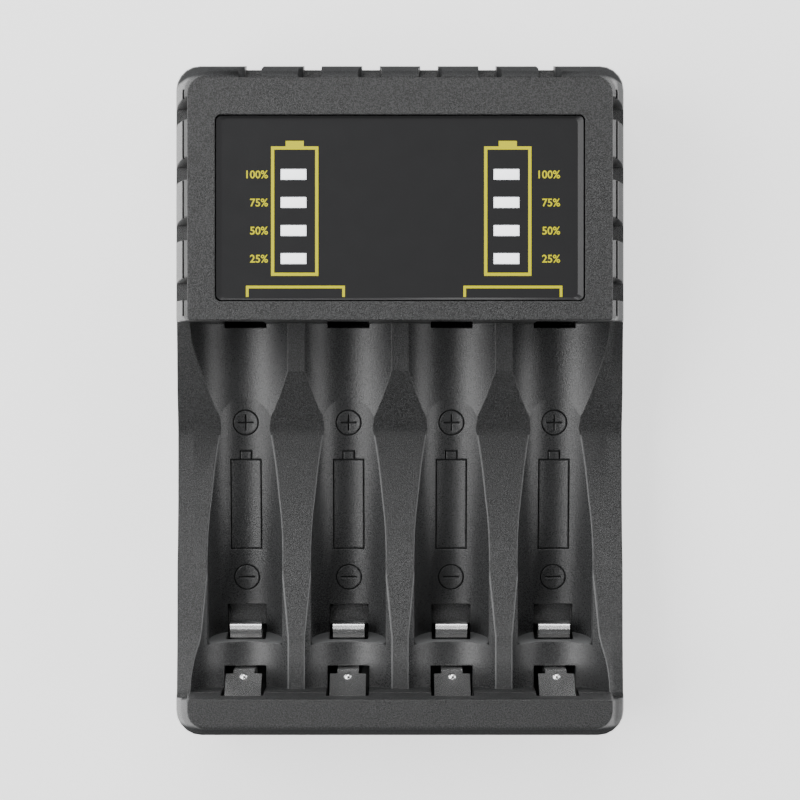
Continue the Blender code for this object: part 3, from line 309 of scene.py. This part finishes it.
def thicken(height):
    """Extrude the flat mesh being edited upwards and leave edit mode."""
    bpy.ops.mesh.select_all(action="SELECT")
    bpy.ops.mesh.extrude_region_move(TRANSFORM_OT_translate={"value": (0.0, 0.0, height)})
    bpy.ops.mesh.select_all(action="SELECT")
    bpy.ops.mesh.normals_make_consistent(inside=False)
    return leave()


def slab(name, x0, x1, y0, y1, z0, z1, wall=0.0):
    """Flat block, or a flat frame with a wall of the given width."""
    bpy.ops.mesh.primitive_plane_add(size=1.0, location=((x0 + x1) / 2, (y0 + y1) / 2, z0))
    piece = bpy.context.object
    piece.name = name
    edit(piece)
    bpy.ops.transform.resize(value=(x1 - x0, y1 - y0, 1.0))
    if wall:
        hollow(wall)
    return thicken(z1 - z0)


def ring(name, x, y, radius, width, z0, z1):
    """Flat ring about a vertical axis."""
    bpy.ops.mesh.primitive_circle_add(vertices=48, radius=radius, fill_type="NGON",
                                      location=(x, y, z0))
    piece = bpy.context.object
    piece.name = name
    edit(piece)
    hollow(width)
    return thicken(z1 - z0)


def joined(name, items):
    """Several meshes as one object."""
    deselect()
    for item in items:
        item.select_set(True)
    bpy.context.view_layer.objects.active = items[0]
    bpy.ops.object.join()
    bpy.context.object.name = name
    return bpy.context.object


class Wire:
    """A shader output that takes part in sums: 1 - wire * 2 adds its Math nodes."""

    def __init__(self, finish, socket):
        self.finish = finish
        self.socket = socket

    def _math(self, operation, first, second):
        return self.finish.node("ShaderNodeMath", {"operation": operation},
                                {0: first, 1: second})

    def __add__(self, other):
        return self._math("ADD", self, other)

    __radd__ = __add__

    def __sub__(self, other):
        return self._math("SUBTRACT", self, other)

    def __rsub__(self, other):
        return self._math("SUBTRACT", other, self)

    def __mul__(self, other):
        return self._math("MULTIPLY", self, other)

    __rmul__ = __mul__

    def __gt__(self, other):
        return self._math("GREATER_THAN", self, other)

    def __lt__(self, other):
        return self._math("LESS_THAN", self, other)

    def __abs__(self):
        return self._math("ABSOLUTE", self, 0.0)

    def least(self, other):
        """The smaller of two values."""
        return self._math("MINIMUM", self, other)

    def most(self, other):
        """The larger of two values."""
        return self._math("MAXIMUM", self, other)

    def hypot(self, other):
        """Length of the diagonal over two legs."""
        return self._math("POWER", self * self + other * other, 0.5)


class Finish:
    """One material, its Principled surface and the method that adds nodes to it."""

    def __init__(self, name, colour, roughness, metallic=0.0, **fixed):
        self.material = bpy.data.materials.new(name)
        self.material.use_nodes = True
        self.tree = self.material.node_tree
        self.surface = self.tree.nodes["Principled BSDF"]
        self.feed("Base Color", colour)
        self.feed("Roughness", roughness)
        self.feed("Metallic", metallic)
        for key, value in fixed.items():
            self.feed(key, value)

    def node(self, kind, settings=None, inputs=None, output=0):
        """Add a node, set it up, fill its sockets and return one of its outputs."""
        made = self.tree.nodes.new(kind)
        for key, value in (settings or {}).items():
            setattr(made, key, value)
        for key, value in (inputs or {}).items():
            self._fill(made.inputs[key], value)
        return Wire(self, made.outputs[output])

    def feed(self, socket, value):
        """Fill a socket of the surface with a value or a wire."""
        self._fill(self.surface.inputs[socket], value)

    def _fill(self, socket, value):
        if isinstance(value, Wire):
            self.tree.links.new(value.socket, socket)
        elif socket.type == "RGBA":
            socket.default_value = (*value, 1.0)
        else:
            socket.default_value = value

    def place(self):
        """Coordinates in metres in the charger's own frame."""
        return self.node("ShaderNodeTexCoord", output="Object")

    def noise(self, size, detail=2.0, rough=0.5, stretch=(1.0, 1.0, 1.0)):
        """Noise whose lumps are about size across, drawn out along the stretched axes."""
        scale = tuple(1.0 / (size * part) for part in stretch)
        where = self.node("ShaderNodeMapping", None, {"Vector": self.place(), "Scale": scale})
        return self.node("ShaderNodeTexNoise", None,
                         {"Vector": where, "Scale": 1.0, "Detail": detail, "Roughness": rough})

    def ramp(self, value, start, end):
        """Black up to a start, white from an end on, and even between them."""
        grey = self.node("ShaderNodeValToRGB", None, {"Fac": value})
        black, white = grey.socket.node.color_ramp.elements
        black.position, white.position = start, end
        return grey

    def mix(self, amount, first, second):
        """Colour between two colours."""
        return self.node("ShaderNodeMix", {"data_type": "RGBA"},
                         {0: amount, 6: first, 7: second}, output=2)

    def axes(self):
        """The three coordinates in metres."""
        place = self.place()
        return [self.node("ShaderNodeSeparateXYZ", None, {0: place}, output=index)
                for index in (0, 1, 2)]

    def lip_and_highlight(self):
        """Mask of the groove edges, one at the edges and nothing a little way from them; it both
        drops the edges in the relief and lays a painted highlight along them.
        """
        width = 0.2 * MM
        across, along, up = self.axes()
        pitch = SLOT_X[1] - SLOT_X[0]
        across = abs(across)
        aside = abs(across - 0.5 * pitch).least(abs(across - 1.5 * pitch))
        rise, run = up - AXIS_Z, along - GROOVE_START
        tilted = rise * math.cos(AAA_TILT) - run * math.sin(AAA_TILT)
        gap = (aside.hypot(rise) - AA_RADIUS).least(aside.hypot(tilted) - AAA_RADIUS)
        inside = (along > BAY_END) * (SLOPE_END > along)
        return inside * (1.0 - self.step(gap, 0.0, width))

    def painted_shade_rims(self):
        """Mask of painted shade: one on the upper rim faces at both ends, less on the right
        side, away from the light, nothing elsewhere.
        """
        shift, end, fade, side_share = 0.7 * MM, END_RIM - 0.4 * MM, 0.8 * MM, 0.7
        low, high = HOUSING_HIGH.z - 16 * MM, HOUSING_HIGH.z - 12 * MM
        across, along, up = self.axes()
        ends = self.step(abs(along + shift), end - fade, end)
        side = self.step(across, SIDE_RIM - fade, SIDE_RIM)
        return ends.most(side * side_share) * self.step(up, low, high)

    def step(self, value, start, end):
        """Nothing up to a start, one from an end on, and smooth between them."""
        return self.node("ShaderNodeMapRange", {"interpolation_type": "SMOOTHSTEP"},
                         {"Value": value, "From Min": start, "From Max": end})

    def blend_painted_shade(self, amount, shade):
        """Painted shade: blend the surface into a glossless copy in another colour with the same
        relief.
        """
        relief = Wire(self, self.surface.inputs["Normal"].links[0].from_socket)
        other = self.node("ShaderNodeBsdfPrincipled", None,
                          {"Base Color": shade, "Normal": relief, "Roughness": 0.8, "IOR": 1.0})
        mixed = self.node("ShaderNodeMixShader", None,
                          {0: amount, 1: Wire(self, self.surface.outputs[0]), 2: other})
        output = self.tree.nodes["Material Output"]
        self.tree.links.new(mixed.socket, output.inputs["Surface"])

    def rounded_edges(self, radius):
        """Normal that rounds sharp edges over a small radius."""
        return self.node("ShaderNodeBevel", {"samples": 6}, {"Radius": radius})

    def bump(self, height, distance, normal=None):
        """Relief of the given depth, fed to the surface's normal."""
        inputs = {"Height": height, "Distance": distance, "Strength": 1.0}
        if normal:
            inputs["Normal"] = normal
        self.feed("Normal", self.node("ShaderNodeBump", None, inputs))


def lighter(colour, amount):
    """A colour multiplied by an amount."""
    return tuple(min(part * amount, 1.0) for part in colour)


def moulded_plastic(name, settings, roughness=0.3, texture=1.0, tone=1.0, gloss=1.58,
                    top=False):
    """Black grey plastic with the fine spark texture of its mould; the top housing also gets a
    painted highlight along its groove edges and painted shade on its end rim faces and right
    side.
    """
    colour = lighter(settings.plastic_colour, tone)
    size, depth = settings.grain_size, settings.grain_depth
    finish = Finish(name, colour, 0.5, IOR=gloss)
    fine = finish.noise(size, 3.0, 0.6)
    pits = finish.noise(size * 0.55, 1.0)
    flow = finish.noise(9 * MM, 2.0)
    relief = pits * 0.5 + fine * 0.5
    speck = finish.ramp(relief, 0.44, 0.58)
    shade = finish.mix(speck, lighter(colour, 1 - 0.75 * texture),
                       lighter(colour, 1 + 0.9 * texture))
    finish.feed("Roughness", roughness + 0.1 * fine + 0.06 * flow)
    normal = finish.rounded_edges(settings.edge_radius)
    if top:
        lip_and_highlight, lip_drop = finish.lip_and_highlight(), 0.09 * MM
        # Painted highlight: the groove edges take a colour five times lighter; the drop below
        # rounds them in the relief.
        shade = finish.mix(lip_and_highlight, shade, lighter(colour, 5.0))
        relief = relief - lip_and_highlight * (lip_drop / depth)
    finish.feed("Base Color", shade)
    finish.bump(relief, depth * texture, normal)
    if top:
        # Painted shade: a glossless copy of the plastic in a lighter colour, on the end rim
        # faces and the right side.
        shaded_rim_colour = finish.mix(speck, lighter(colour, 1.2), lighter(colour, 1.9))
        finish.blend_painted_shade(finish.painted_shade_rims(), shaded_rim_colour)
    return finish.material


def window_plastic(name, settings):
    """Smooth dark window plastic with faint flow and dust."""
    colour = tuple(settings.panel_colour)
    finish = Finish(name, colour, 0.3, IOR=1.36)
    haze = finish.noise(3 * MM, 3.0)
    dust = finish.ramp(finish.noise(0.12 * MM, 1.0), 0.62, 0.75)
    finish.feed("Base Color", finish.mix(dust, colour, lighter(colour, 1.25)))
    finish.feed("Roughness", 0.26 + 0.1 * haze)
    finish.bump(haze, 0.004 * MM)
    return finish.material


def ink(name, settings):
    """Screen printed ink with a slightly uneven film."""
    colour = tuple(settings.ink_colour)
    finish = Finish(name, colour, 0.45)
    film = finish.noise(0.15 * MM, 3.0, 0.6)
    finish.feed("Base Color", finish.mix(film, lighter(colour, 0.93), lighter(colour, 1.03)))
    finish.feed("Roughness", 0.4 + 0.15 * film)
    finish.bump(film, 0.003 * MM)
    return finish.material


def milky_painted_glow(name, colour):
    """Milky light guide with a painted glow of its own emission; the lamp chips below it give no
    light.
    """
    finish = Finish(name, colour, 0.35)
    cloud = finish.noise(0.8 * MM, 3.0)
    finish.feed("Base Color", finish.mix(cloud, lighter(colour, 0.94), colour))
    finish.feed("Roughness", 0.3 + 0.15 * cloud)
    # Painted glow: emission in the guide's own colour.
    finish.feed("Emission Color", colour)
    finish.feed("Emission Strength", 2.2)
    return finish.material


def nickel(name, settings):
    """Bright nickel plate with fine rolling lines across the strip."""
    colour = tuple(settings.metal_colour)
    finish = Finish(name, colour, 0.2, 1.0)
    lines = finish.noise(0.06 * MM, 3.0, 0.6, (40.0, 1.0, 1.0))
    smudge = finish.noise(1.5 * MM, 3.0)
    finish.feed("Base Color", finish.mix(smudge, lighter(colour, 0.9), colour))
    finish.feed("Roughness", 0.19 + 0.06 * lines + 0.06 * smudge)
    finish.bump(smudge, 0.001 * MM)
    return finish.material


def board_resin(name, colour):
    """Solder mask over faint copper tracks."""
    finish = Finish(name, colour, 0.35)
    place = finish.place()
    cells = finish.node("ShaderNodeTexBrick", {"offset": 0.3}, {
        "Vector": place, "Scale": 260.0, "Mortar Size": 0.05, "Brick Width": 1.4,
        "Row Height": 0.4}, output="Fac")
    weave = finish.noise(0.3 * MM, 2.0)
    finish.feed("Base Color", finish.mix(cells, colour, lighter(colour, 1.9)))
    finish.feed("Roughness", 0.3 + 0.12 * weave)
    finish.bump(cells * 0.7 + weave * 0.3, 0.02 * MM)
    return finish.material


def grained(name, colour, roughness, size, depth, metallic=0.0):
    """Plain stuff with a fine grain in its colour, gloss and relief."""
    contrast = 0.12
    finish = Finish(name, colour, roughness, metallic)
    grain = finish.noise(size, 3.0, 0.6)
    finish.feed("Base Color", finish.mix(grain, lighter(colour, 1 - contrast),
                                         lighter(colour, 1 + contrast)))
    finish.feed("Roughness", roughness - 0.08 + 0.16 * grain)
    finish.bump(grain, depth)
    return finish.material


class ChargerHousingSettings(bpy.types.PropertyGroup):
    """Plastic of the housing and the marks moulded in its slots."""

    plastic_colour: FloatVectorProperty(
        name="Plastic colour", description="Colour of the moulded housing",
        subtype="COLOR", default=(0.029, 0.0295, 0.030))
    grain_size: FloatProperty(
        name="Grain size", description="Width of one lump of the spark texture",
        subtype="DISTANCE", default=0.21 * MM)
    grain_depth: FloatProperty(
        name="Grain depth", description="Height of the spark texture",
        subtype="DISTANCE", default=0.16 * MM)
    edge_radius: FloatProperty(
        name="Edge radius", description="Radius that softens the moulded edges",
        subtype="DISTANCE", default=0.28 * MM)
    seam_width: FloatProperty(
        name="Seam width", description="Width of the gaps beside the side pads",
        subtype="DISTANCE", default=0.3 * MM)
    mark_depth: FloatProperty(
        name="Mark depth", description="Depth of the polarity marks in the slots",
        subtype="DISTANCE", default=0.2 * MM)
    mark_width: FloatProperty(
        name="Mark width", description="Line width of the polarity marks",
        subtype="DISTANCE", default=0.2 * MM)


class ChargerDisplaySettings(bpy.types.PropertyGroup):
    """Window panel and its print."""

    panel_colour: FloatVectorProperty(
        name="Panel colour", description="Colour of the display window",
        subtype="COLOR", default=(0.0292, 0.0292, 0.0303))
    ink_colour: FloatVectorProperty(
        name="Ink colour", description="Colour of the printed gauges and numbers",
        subtype="COLOR", default=(0.76, 0.70, 0.0))
    ink_thickness: FloatProperty(
        name="Ink thickness", description="Height of the print above the panel",
        subtype="DISTANCE", default=0.02 * MM)
    gauge_line: FloatProperty(
        name="Gauge line", description="Line width of the gauge frames",
        subtype="DISTANCE", default=0.44 * MM)
    bracket_line: FloatProperty(
        name="Bracket line", description="Line width of the slot brackets",
        subtype="DISTANCE", default=0.37 * MM)
    number_size: FloatProperty(
        name="Number size", description="Font size of the level numbers",
        subtype="DISTANCE", default=1.5 * MM)


class ChargerMetalSettings(bpy.types.PropertyGroup):
    """Bright metal of the contacts."""

    metal_colour: FloatVectorProperty(
        name="Metal colour", description="Colour of the nickel plate",
        subtype="COLOR", default=(0.90, 0.90, 0.90))


class ChargerStageSettings(bpy.types.PropertyGroup):
    """Camera, lights and floor."""

    camera_height: FloatProperty(
        name="Camera height", description="Height of the camera above the floor",
        subtype="DISTANCE", default=433.5 * MM)
    scale_at_floor: FloatProperty(
        name="Pixels per metre", description="Picture scale at the floor",
        default=6796.0)
    key_power: FloatProperty(
        name="Key power", description="Power of the large light on the left",
        subtype="POWER", default=4.0)
    fill_power: FloatProperty(
        name="Fill power", description="Power of the low light on the right",
        subtype="POWER", default=2.6)
    back_power: FloatProperty(
        name="Back power", description="Power of the soft light beyond the display end",
        subtype="POWER", default=2.8)
    low_power: FloatProperty(
        name="Low power", description="Power of the soft light low on the left",
        subtype="POWER", default=1.8)
    floor_glow: FloatProperty(
        name="Floor glow", description="Light given off by the white floor", default=1.3)


class ChargerPart:
    """What the charger's operators share."""

    bl_options = {"REGISTER", "UNDO"}


class CHARGER_OT_housing(ChargerPart, bpy.types.Operator):
    """Mould the front housing with the polarity marks in its slots"""

    bl_idname = "charger.housing"
    bl_label = "Front housing"

    def execute(self, context):
        settings = context.scene.charger_housing
        piece = merged_copy("front_housing", "moulded_front")
        combine(piece, self.gaps(settings), "DIFFERENCE")
        first, second = self.marks(settings)
        for marks in (first, second):
            combine(marks, self.floors(settings), "INTERSECT")
            combine(piece, marks, "DIFFERENCE")
        level_sides(piece)
        settle(piece, moulded_plastic("spark_abs", settings, top=True),
               "front_housing", angle=28.0, even=True)
        # The marks' plastic is darker and less glossy: painted shade in their sunk lines.
        smooth_bay(piece, moulded_plastic("groove_abs", settings, 0.2, 0.4, 1.5),
                   moulded_plastic("mark_shade_abs", settings, 0.6, 0.4, 0.6, gloss=1.25))
        return {"FINISHED"}

    @staticmethod
    def gaps(settings):
        """Thin gaps beside the side pads and the open feet of the end notches."""
        top, end, width = HOUSING_HIGH.z, HOUSING_HIGH.y, settings.seam_width
        edge, low, high = HOUSING_HIGH.x - 2.02 * MM, BAY_TOP + 0.6 * MM, end - 5 * MM
        parts = [slab("seam", x, x + width, low, high, top - 3.3 * MM, top)
                 for x in (edge - width, -edge)]
        pitch, half, start = 8.3 * MM, 1.25 * MM, end - 0.8 * MM
        for place in (-2.5, -1.5, -0.5, 0.5, 1.5, 2.5):
            x = place * pitch
            parts.append(slab("notch_foot", x - half, x + half, start, end + MM,
                              top - 18.2 * MM, top - 15.6 * MM))
        return joined("gaps", parts)

    @staticmethod
    def floors(settings):
        """Cylinders that reach one mark's depth into the tilted grooves' floors."""
        runs, length = [], 60 * MM
        for x in SLOT_X:
            bpy.ops.mesh.primitive_cylinder_add(
                vertices=128, radius=AAA_RADIUS + settings.mark_depth, depth=length,
                rotation=(math.pi / 2 + AAA_TILT, 0.0, 0.0),
                location=(x, GROOVE_START - length / 2 * math.cos(AAA_TILT),
                          AXIS_Z - length / 2 * math.sin(AAA_TILT)))
            activate(bpy.context.object)
            bpy.ops.object.transform_apply(location=True, rotation=True, scale=True)
            runs.append(bpy.context.object)
        return joined("floor_shell", runs)

    @staticmethod
    def marks(settings):
        """Two sets of upright prisms; no prism overlaps another of its set."""
        line = settings.mark_width
        low, high = 2 * MM, 11 * MM
        plus_y, minus_y, circle = -3.25 * MM, -25.7 * MM, 1.9 * MM
        cell_top, cell_end, cell_half = -8.5 * MM, -21.6 * MM, 2.28 * MM
        nub_half, nub_top, sign = 0.92 * MM, -7.25 * MM, 1.15 * MM
        first, second = [], []
        for x in SLOT_X:
            for y in (plus_y, minus_y):
                first.append(ring("circle", x, y, circle, line, low, high))
                first.append(slab("sign", x - sign, x + sign, y - line / 2, y + line / 2,
                                  low, high))
            first.append(slab("cell", x - cell_half, x + cell_half, cell_end, cell_top,
                              low, high, line))
            second.append(slab("sign", x - line / 2, x + line / 2, plus_y - sign,
                               plus_y + sign, low, high))
            second.append(slab("nub", x - nub_half, x + nub_half, cell_top - line, nub_top,
                               low, high, line))
        return joined("marks", first), joined("more_marks", second)


class CHARGER_OT_cover(ChargerPart, bpy.types.Operator):
    """Mould the back cover and fit its feet and screws"""

    bl_idname = "charger.cover"
    bl_label = "Back cover"

    def execute(self, context):
        settings = context.scene.charger_housing
        plastic = moulded_plastic("cover_abs", settings)
        settle(merged_copy("back_cover", "moulded_cover"), plastic, "back_cover",
               angle=28.0)
        rubber = grained("foot_rubber", (0.02, 0.02, 0.021), 0.8, 0.2 * MM, 0.02 * MM)
        steel = grained("black_zinc", (0.17, 0.17, 0.18), 0.35, 0.1 * MM, 0.004 * MM, 1.0)
        for slot in SLOTS:
            foot = merged_copy(f"rubber_foot_{slot}", f"round_foot_{slot}")
            round_edges(foot, 0.15 * MM)
            settle(foot, rubber, f"rubber_foot_{slot}", angle=60.0)
            screw = merged_copy(f"cover_screw_{slot}", f"pan_screw_{slot}")
            settle(screw, steel, f"cover_screw_{slot}", angle=35.0)
        return {"FINISHED"}


class CHARGER_OT_display(ChargerPart, bpy.types.Operator):
    """Fit the display window, its print and the light guides"""

    bl_idname = "charger.display"
    bl_label = "Display"

    def execute(self, context):
        settings = context.scene.charger_display
        panel = merged_copy("display_window", "window_panel")
        settle(panel, window_plastic("window_acrylic", settings),
               "display_window", angle=12.0, even=True)
        yellow = ink("yellow_ink", settings)
        milky = milky_painted_glow("milky_guide", (0.86, 0.87, 0.9))
        lamp = grained("lamp_resin", (0.9, 0.86, 0.6), 0.3, 0.1 * MM, 0.003 * MM)
        for side, x in zip(("left", "right"), GAUGE_X):
            self.gauge(side, x, settings, yellow)
            self.numbers(side, settings, yellow)
            guide = merged_copy("light_guide_" + side, "guide_" + side)
            round_edges(guide, 0.06 * MM)
            settle(guide, milky, "light_guide_" + side)
            for level in SLOTS:
                chip = merged_copy(f"lamp_{side}_{level}", f"lamp_chip_{side}_{level}")
                round_edges(chip, 0.05 * MM)
                settle(chip, lamp, f"lamp_{side}_{level}")
        return {"FINISHED"}

    @staticmethod
    def gauge(side, x, settings, yellow):
        """Cell-shaped frame round the level bars and the bracket below it."""
        z0, z1 = DISH_Z, DISH_Z + settings.ink_thickness
        line, x = settings.gauge_line, x + 0.17 * MM
        half, top, end = 3.26 * MM, 34.94 * MM, 17.1 * MM
        nub, rise = 1.25 * MM, 0.76 * MM
        outline = slab("gauge", x - half, x + half, end, top, z0, z1, line)
        cap = slab("cap", x - nub, x + nub, top, top + rise, z0, z1)
        settle(joined("gauge_print_" + side, [outline, cap]), yellow)
        line = settings.bracket_line
        middle = x + (0.1 * MM if side == "left" else 0.7 * MM)
        half, top, end = 6.82 * MM, 15.75 * MM, PANEL_LOW.y + 0.4 * MM
        parts = [slab("beam", middle - half, middle + half, top - line, top, z0, z1)]
        for edge in (middle - half, middle + half - line):
            parts.append(slab("leg", edge, edge + line, end, top - line, z0, z1))
        settle(joined("bracket_print_" + side, parts), yellow)

    @staticmethod
    def numbers(side, settings, yellow):
        """Level numbers beside the bars, set flush right."""
        edge = -18.18 * MM if side == "left" else 22.07 * MM
        drop, boldness, half_depth = 0.54 * MM, 0.026 * MM, settings.ink_thickness / 2
        labels = []
        for y, share in zip(LEVEL_Y, (25, 50, 75, 100)):
            bpy.ops.object.text_add(location=(edge, y - drop, DISH_Z))
            label = bpy.context.object
            label.data.body = f"{share}%"
            label.data.align_x = "RIGHT"
            label.data.size = settings.number_size
            label.data.offset = boldness
            label.data.extrude = half_depth
            label.data.resolution_u = 4
            activate(label)
            bpy.ops.object.convert(target="MESH")
            label = bpy.context.object
            label.location.z += half_depth
            bpy.ops.object.transform_apply(location=True, rotation=True, scale=True)
            labels.append(label)
        settle(joined("level_numbers_" + side, labels), yellow)


class CHARGER_OT_contacts(ChargerPart, bpy.types.Operator):
    """Make the bright contacts and the leads"""

    bl_idname = "charger.contacts"
    bl_label = "Contacts"

    def execute(self, context):
        foot_gap, flat_area = 0.12 * MM, MM * MM
        plate = nickel("nickel_plate", context.scene.charger_metal)
        sleeve = grained("lead_sleeve", (0.02, 0.02, 0.021), 0.5, 0.3 * MM, 0.004 * MM)
        for slot in SLOTS:
            for kind in ("aa", "aaa"):
                node = f"{kind}_contact_{slot}"
                spring = merged_copy(node, f"{kind}_leaf_{slot}", 0.2)
                if kind == "aaa":
                    shorten_foot(spring, foot_gap)
                settle(spring, plate, node, body=node + "_leaf",
                       angle=24.0, even=True)
                steady_flats(spring, flat_area)
            node = f"positive_contact_{slot}"
            settle(merged_copy(node, f"positive_plate_{slot}"), plate, node)
            node = f"negative_lead_{slot}"
            settle(merged_copy(node, f"sleeved_lead_{slot}", 0.1), sleeve,
                   node, angle=60.0)
        socket = merged_copy("usb_socket", "usb_shell")
        settle(socket, plate, "usb_socket", angle=35.0)
        return {"FINISHED"}


class CHARGER_OT_electronics(ChargerPart, bpy.types.Operator):
    """Finish the boards and what is soldered to them"""

    bl_idname = "charger.electronics"
    bl_label = "Electronics"

    def execute(self, context):
        resin = board_resin("solder_mask", (0.012, 0.09, 0.04))
        dark_resin = board_resin("dark_solder_mask", (0.006, 0.007, 0.007))
        epoxy = grained("chip_epoxy", (0.018, 0.018, 0.02), 0.5, 0.08 * MM, 0.006 * MM)
        ferrite = grained("ferrite", (0.07, 0.07, 0.075), 0.65, 0.15 * MM, 0.02 * MM)
        can = grained("capacitor_can", (0.55, 0.55, 0.57), 0.3, 0.4 * MM, 0.003 * MM, 0.9)
        film = grained("ribbon_film", (0.7, 0.7, 0.66), 0.4, 1.2 * MM, 0.004 * MM)
        blocks = {"main_board": (resin, "board_green"),
                  "contact_board": (dark_resin, "board_green"),
                  "display_board": (resin, "board_green"),
                  "charge_controller": (epoxy, "chip_epoxy"),
                  "power_inductor": (ferrite, "ferrite"),
                  "input_capacitor": (can, "capacitor_can"),
                  "output_capacitor": (can, "capacitor_can"),
                  "board_ribbon": (film, "ribbon_film")}
        blocks.update({f"slot_switch_{slot}": (epoxy, "chip_epoxy") for slot in SLOTS})
        for node, (material, slot) in blocks.items():
            piece = merged_copy(node, node + "_finished")
            round_edges(piece, 0.08 * MM, 50.0)
            settle(piece, material, node, angle=40.0)
        return {"FINISHED"}


class CHARGER_OT_stage(ChargerPart, bpy.types.Operator):
    """Set the white floor, the studio lights and the camera"""

    bl_idname = "charger.stage"
    bl_label = "Stage"

    def execute(self, context):
        settings = context.scene.charger_stage
        bpy.ops.mesh.primitive_plane_add(size=3.0, location=(0.0, 0.0, -0.05 * MM))
        floor = bpy.context.object
        floor.name = "studio_floor"
        white = Finish("floor_white", (0.9, 0.9, 0.9), 0.7)
        white.feed("Emission Color", (1.0, 1.0, 1.0))
        white.feed("Emission Strength", settings.floor_glow)
        floor.data.materials.append(white.material)
        self.light("key_left", settings.key_power, (-0.40, 0.04, 0.5), (0.66, 0.40))
        self.light("fill_right", settings.fill_power, (0.6, 0.02, 0.25), (0.8, 0.36))
        self.light("back_soft", settings.back_power, (0.0, 0.53, 0.36), (0.6, 0.26))
        self.light("low_left", settings.low_power, (-0.58, 0.02, 0.16), (0.8, 0.3))
        world = bpy.data.worlds.new("studio")
        world.use_nodes = True
        sky = world.node_tree.nodes["Background"]
        sky.inputs["Color"].default_value = (1.0, 1.0, 1.0, 1.0)
        sky.inputs["Strength"].default_value = 0.06
        context.scene.world = world
        bpy.ops.object.camera_add(location=(0.0, 0.0, settings.camera_height),
                                  rotation=(0.0, 0.0, 0.0))
        camera = bpy.context.object
        camera.name = "photo_camera"
        width = PICTURE_WIDTH / settings.scale_at_floor
        camera.data.lens = camera.data.sensor_width * settings.camera_height / width
        camera.data.clip_start = 0.01
        camera.data.clip_end = 10.0
        context.scene.camera = camera
        return {"FINISHED"}

    @staticmethod
    def light(name, power, place, size):
        """Rectangular soft light aimed at the charger."""
        bpy.ops.object.light_add(type="AREA", location=place)
        lamp = bpy.context.object
        lamp.name = name
        lamp.rotation_euler = (-Vector(place)).to_track_quat("-Z", "Y").to_euler()
        lamp.data.shape = "RECTANGLE"
        lamp.data.size, lamp.data.size_y = size
        lamp.data.energy = power


class CHARGER_PT_looks(bpy.types.Panel):
    """The charger's operators and their settings"""

    bl_idname = "CHARGER_PT_looks"
    bl_label = "Charger"
    bl_space_type = "VIEW_3D"
    bl_region_type = "UI"
    bl_category = "Charger"

    def draw(self, context):
        for operator in OPERATORS:
            self.layout.operator(operator.bl_idname)
        for name, group in SETTINGS.items():
            box = self.layout.box()
            for key in group.__annotations__:
                box.prop(getattr(context.scene, name), key)


SETTINGS = {
    "charger_housing": ChargerHousingSettings,
    "charger_display": ChargerDisplaySettings,
    "charger_metal": ChargerMetalSettings,
    "charger_stage": ChargerStageSettings,
}
OPERATORS = (CHARGER_OT_housing, CHARGER_OT_cover, CHARGER_OT_display, CHARGER_OT_contacts,
             CHARGER_OT_electronics, CHARGER_OT_stage)


def register():
    """Register the classes and hang the settings on the scene."""
    for group in SETTINGS.values():
        bpy.utils.register_class(group)
    for operator in OPERATORS:
        bpy.utils.register_class(operator)
    bpy.utils.register_class(CHARGER_PT_looks)
    for name, group in SETTINGS.items():
        setattr(bpy.types.Scene, name, PointerProperty(type=group))


def unregister():
    """Take the settings and the classes away again."""
    for name in SETTINGS:
        delattr(bpy.types.Scene, name)
    for item in (CHARGER_PT_looks, *OPERATORS, *SETTINGS.values()):
        bpy.utils.unregister_class(item)


def main():
    """Build every piece and the stage."""
    register()
    bpy.ops.charger.housing()
    bpy.ops.charger.cover()
    bpy.ops.charger.display()
    bpy.ops.charger.contacts()
    bpy.ops.charger.electronics()
    bpy.ops.charger.stage()


if __name__ == "__main__":
    main()
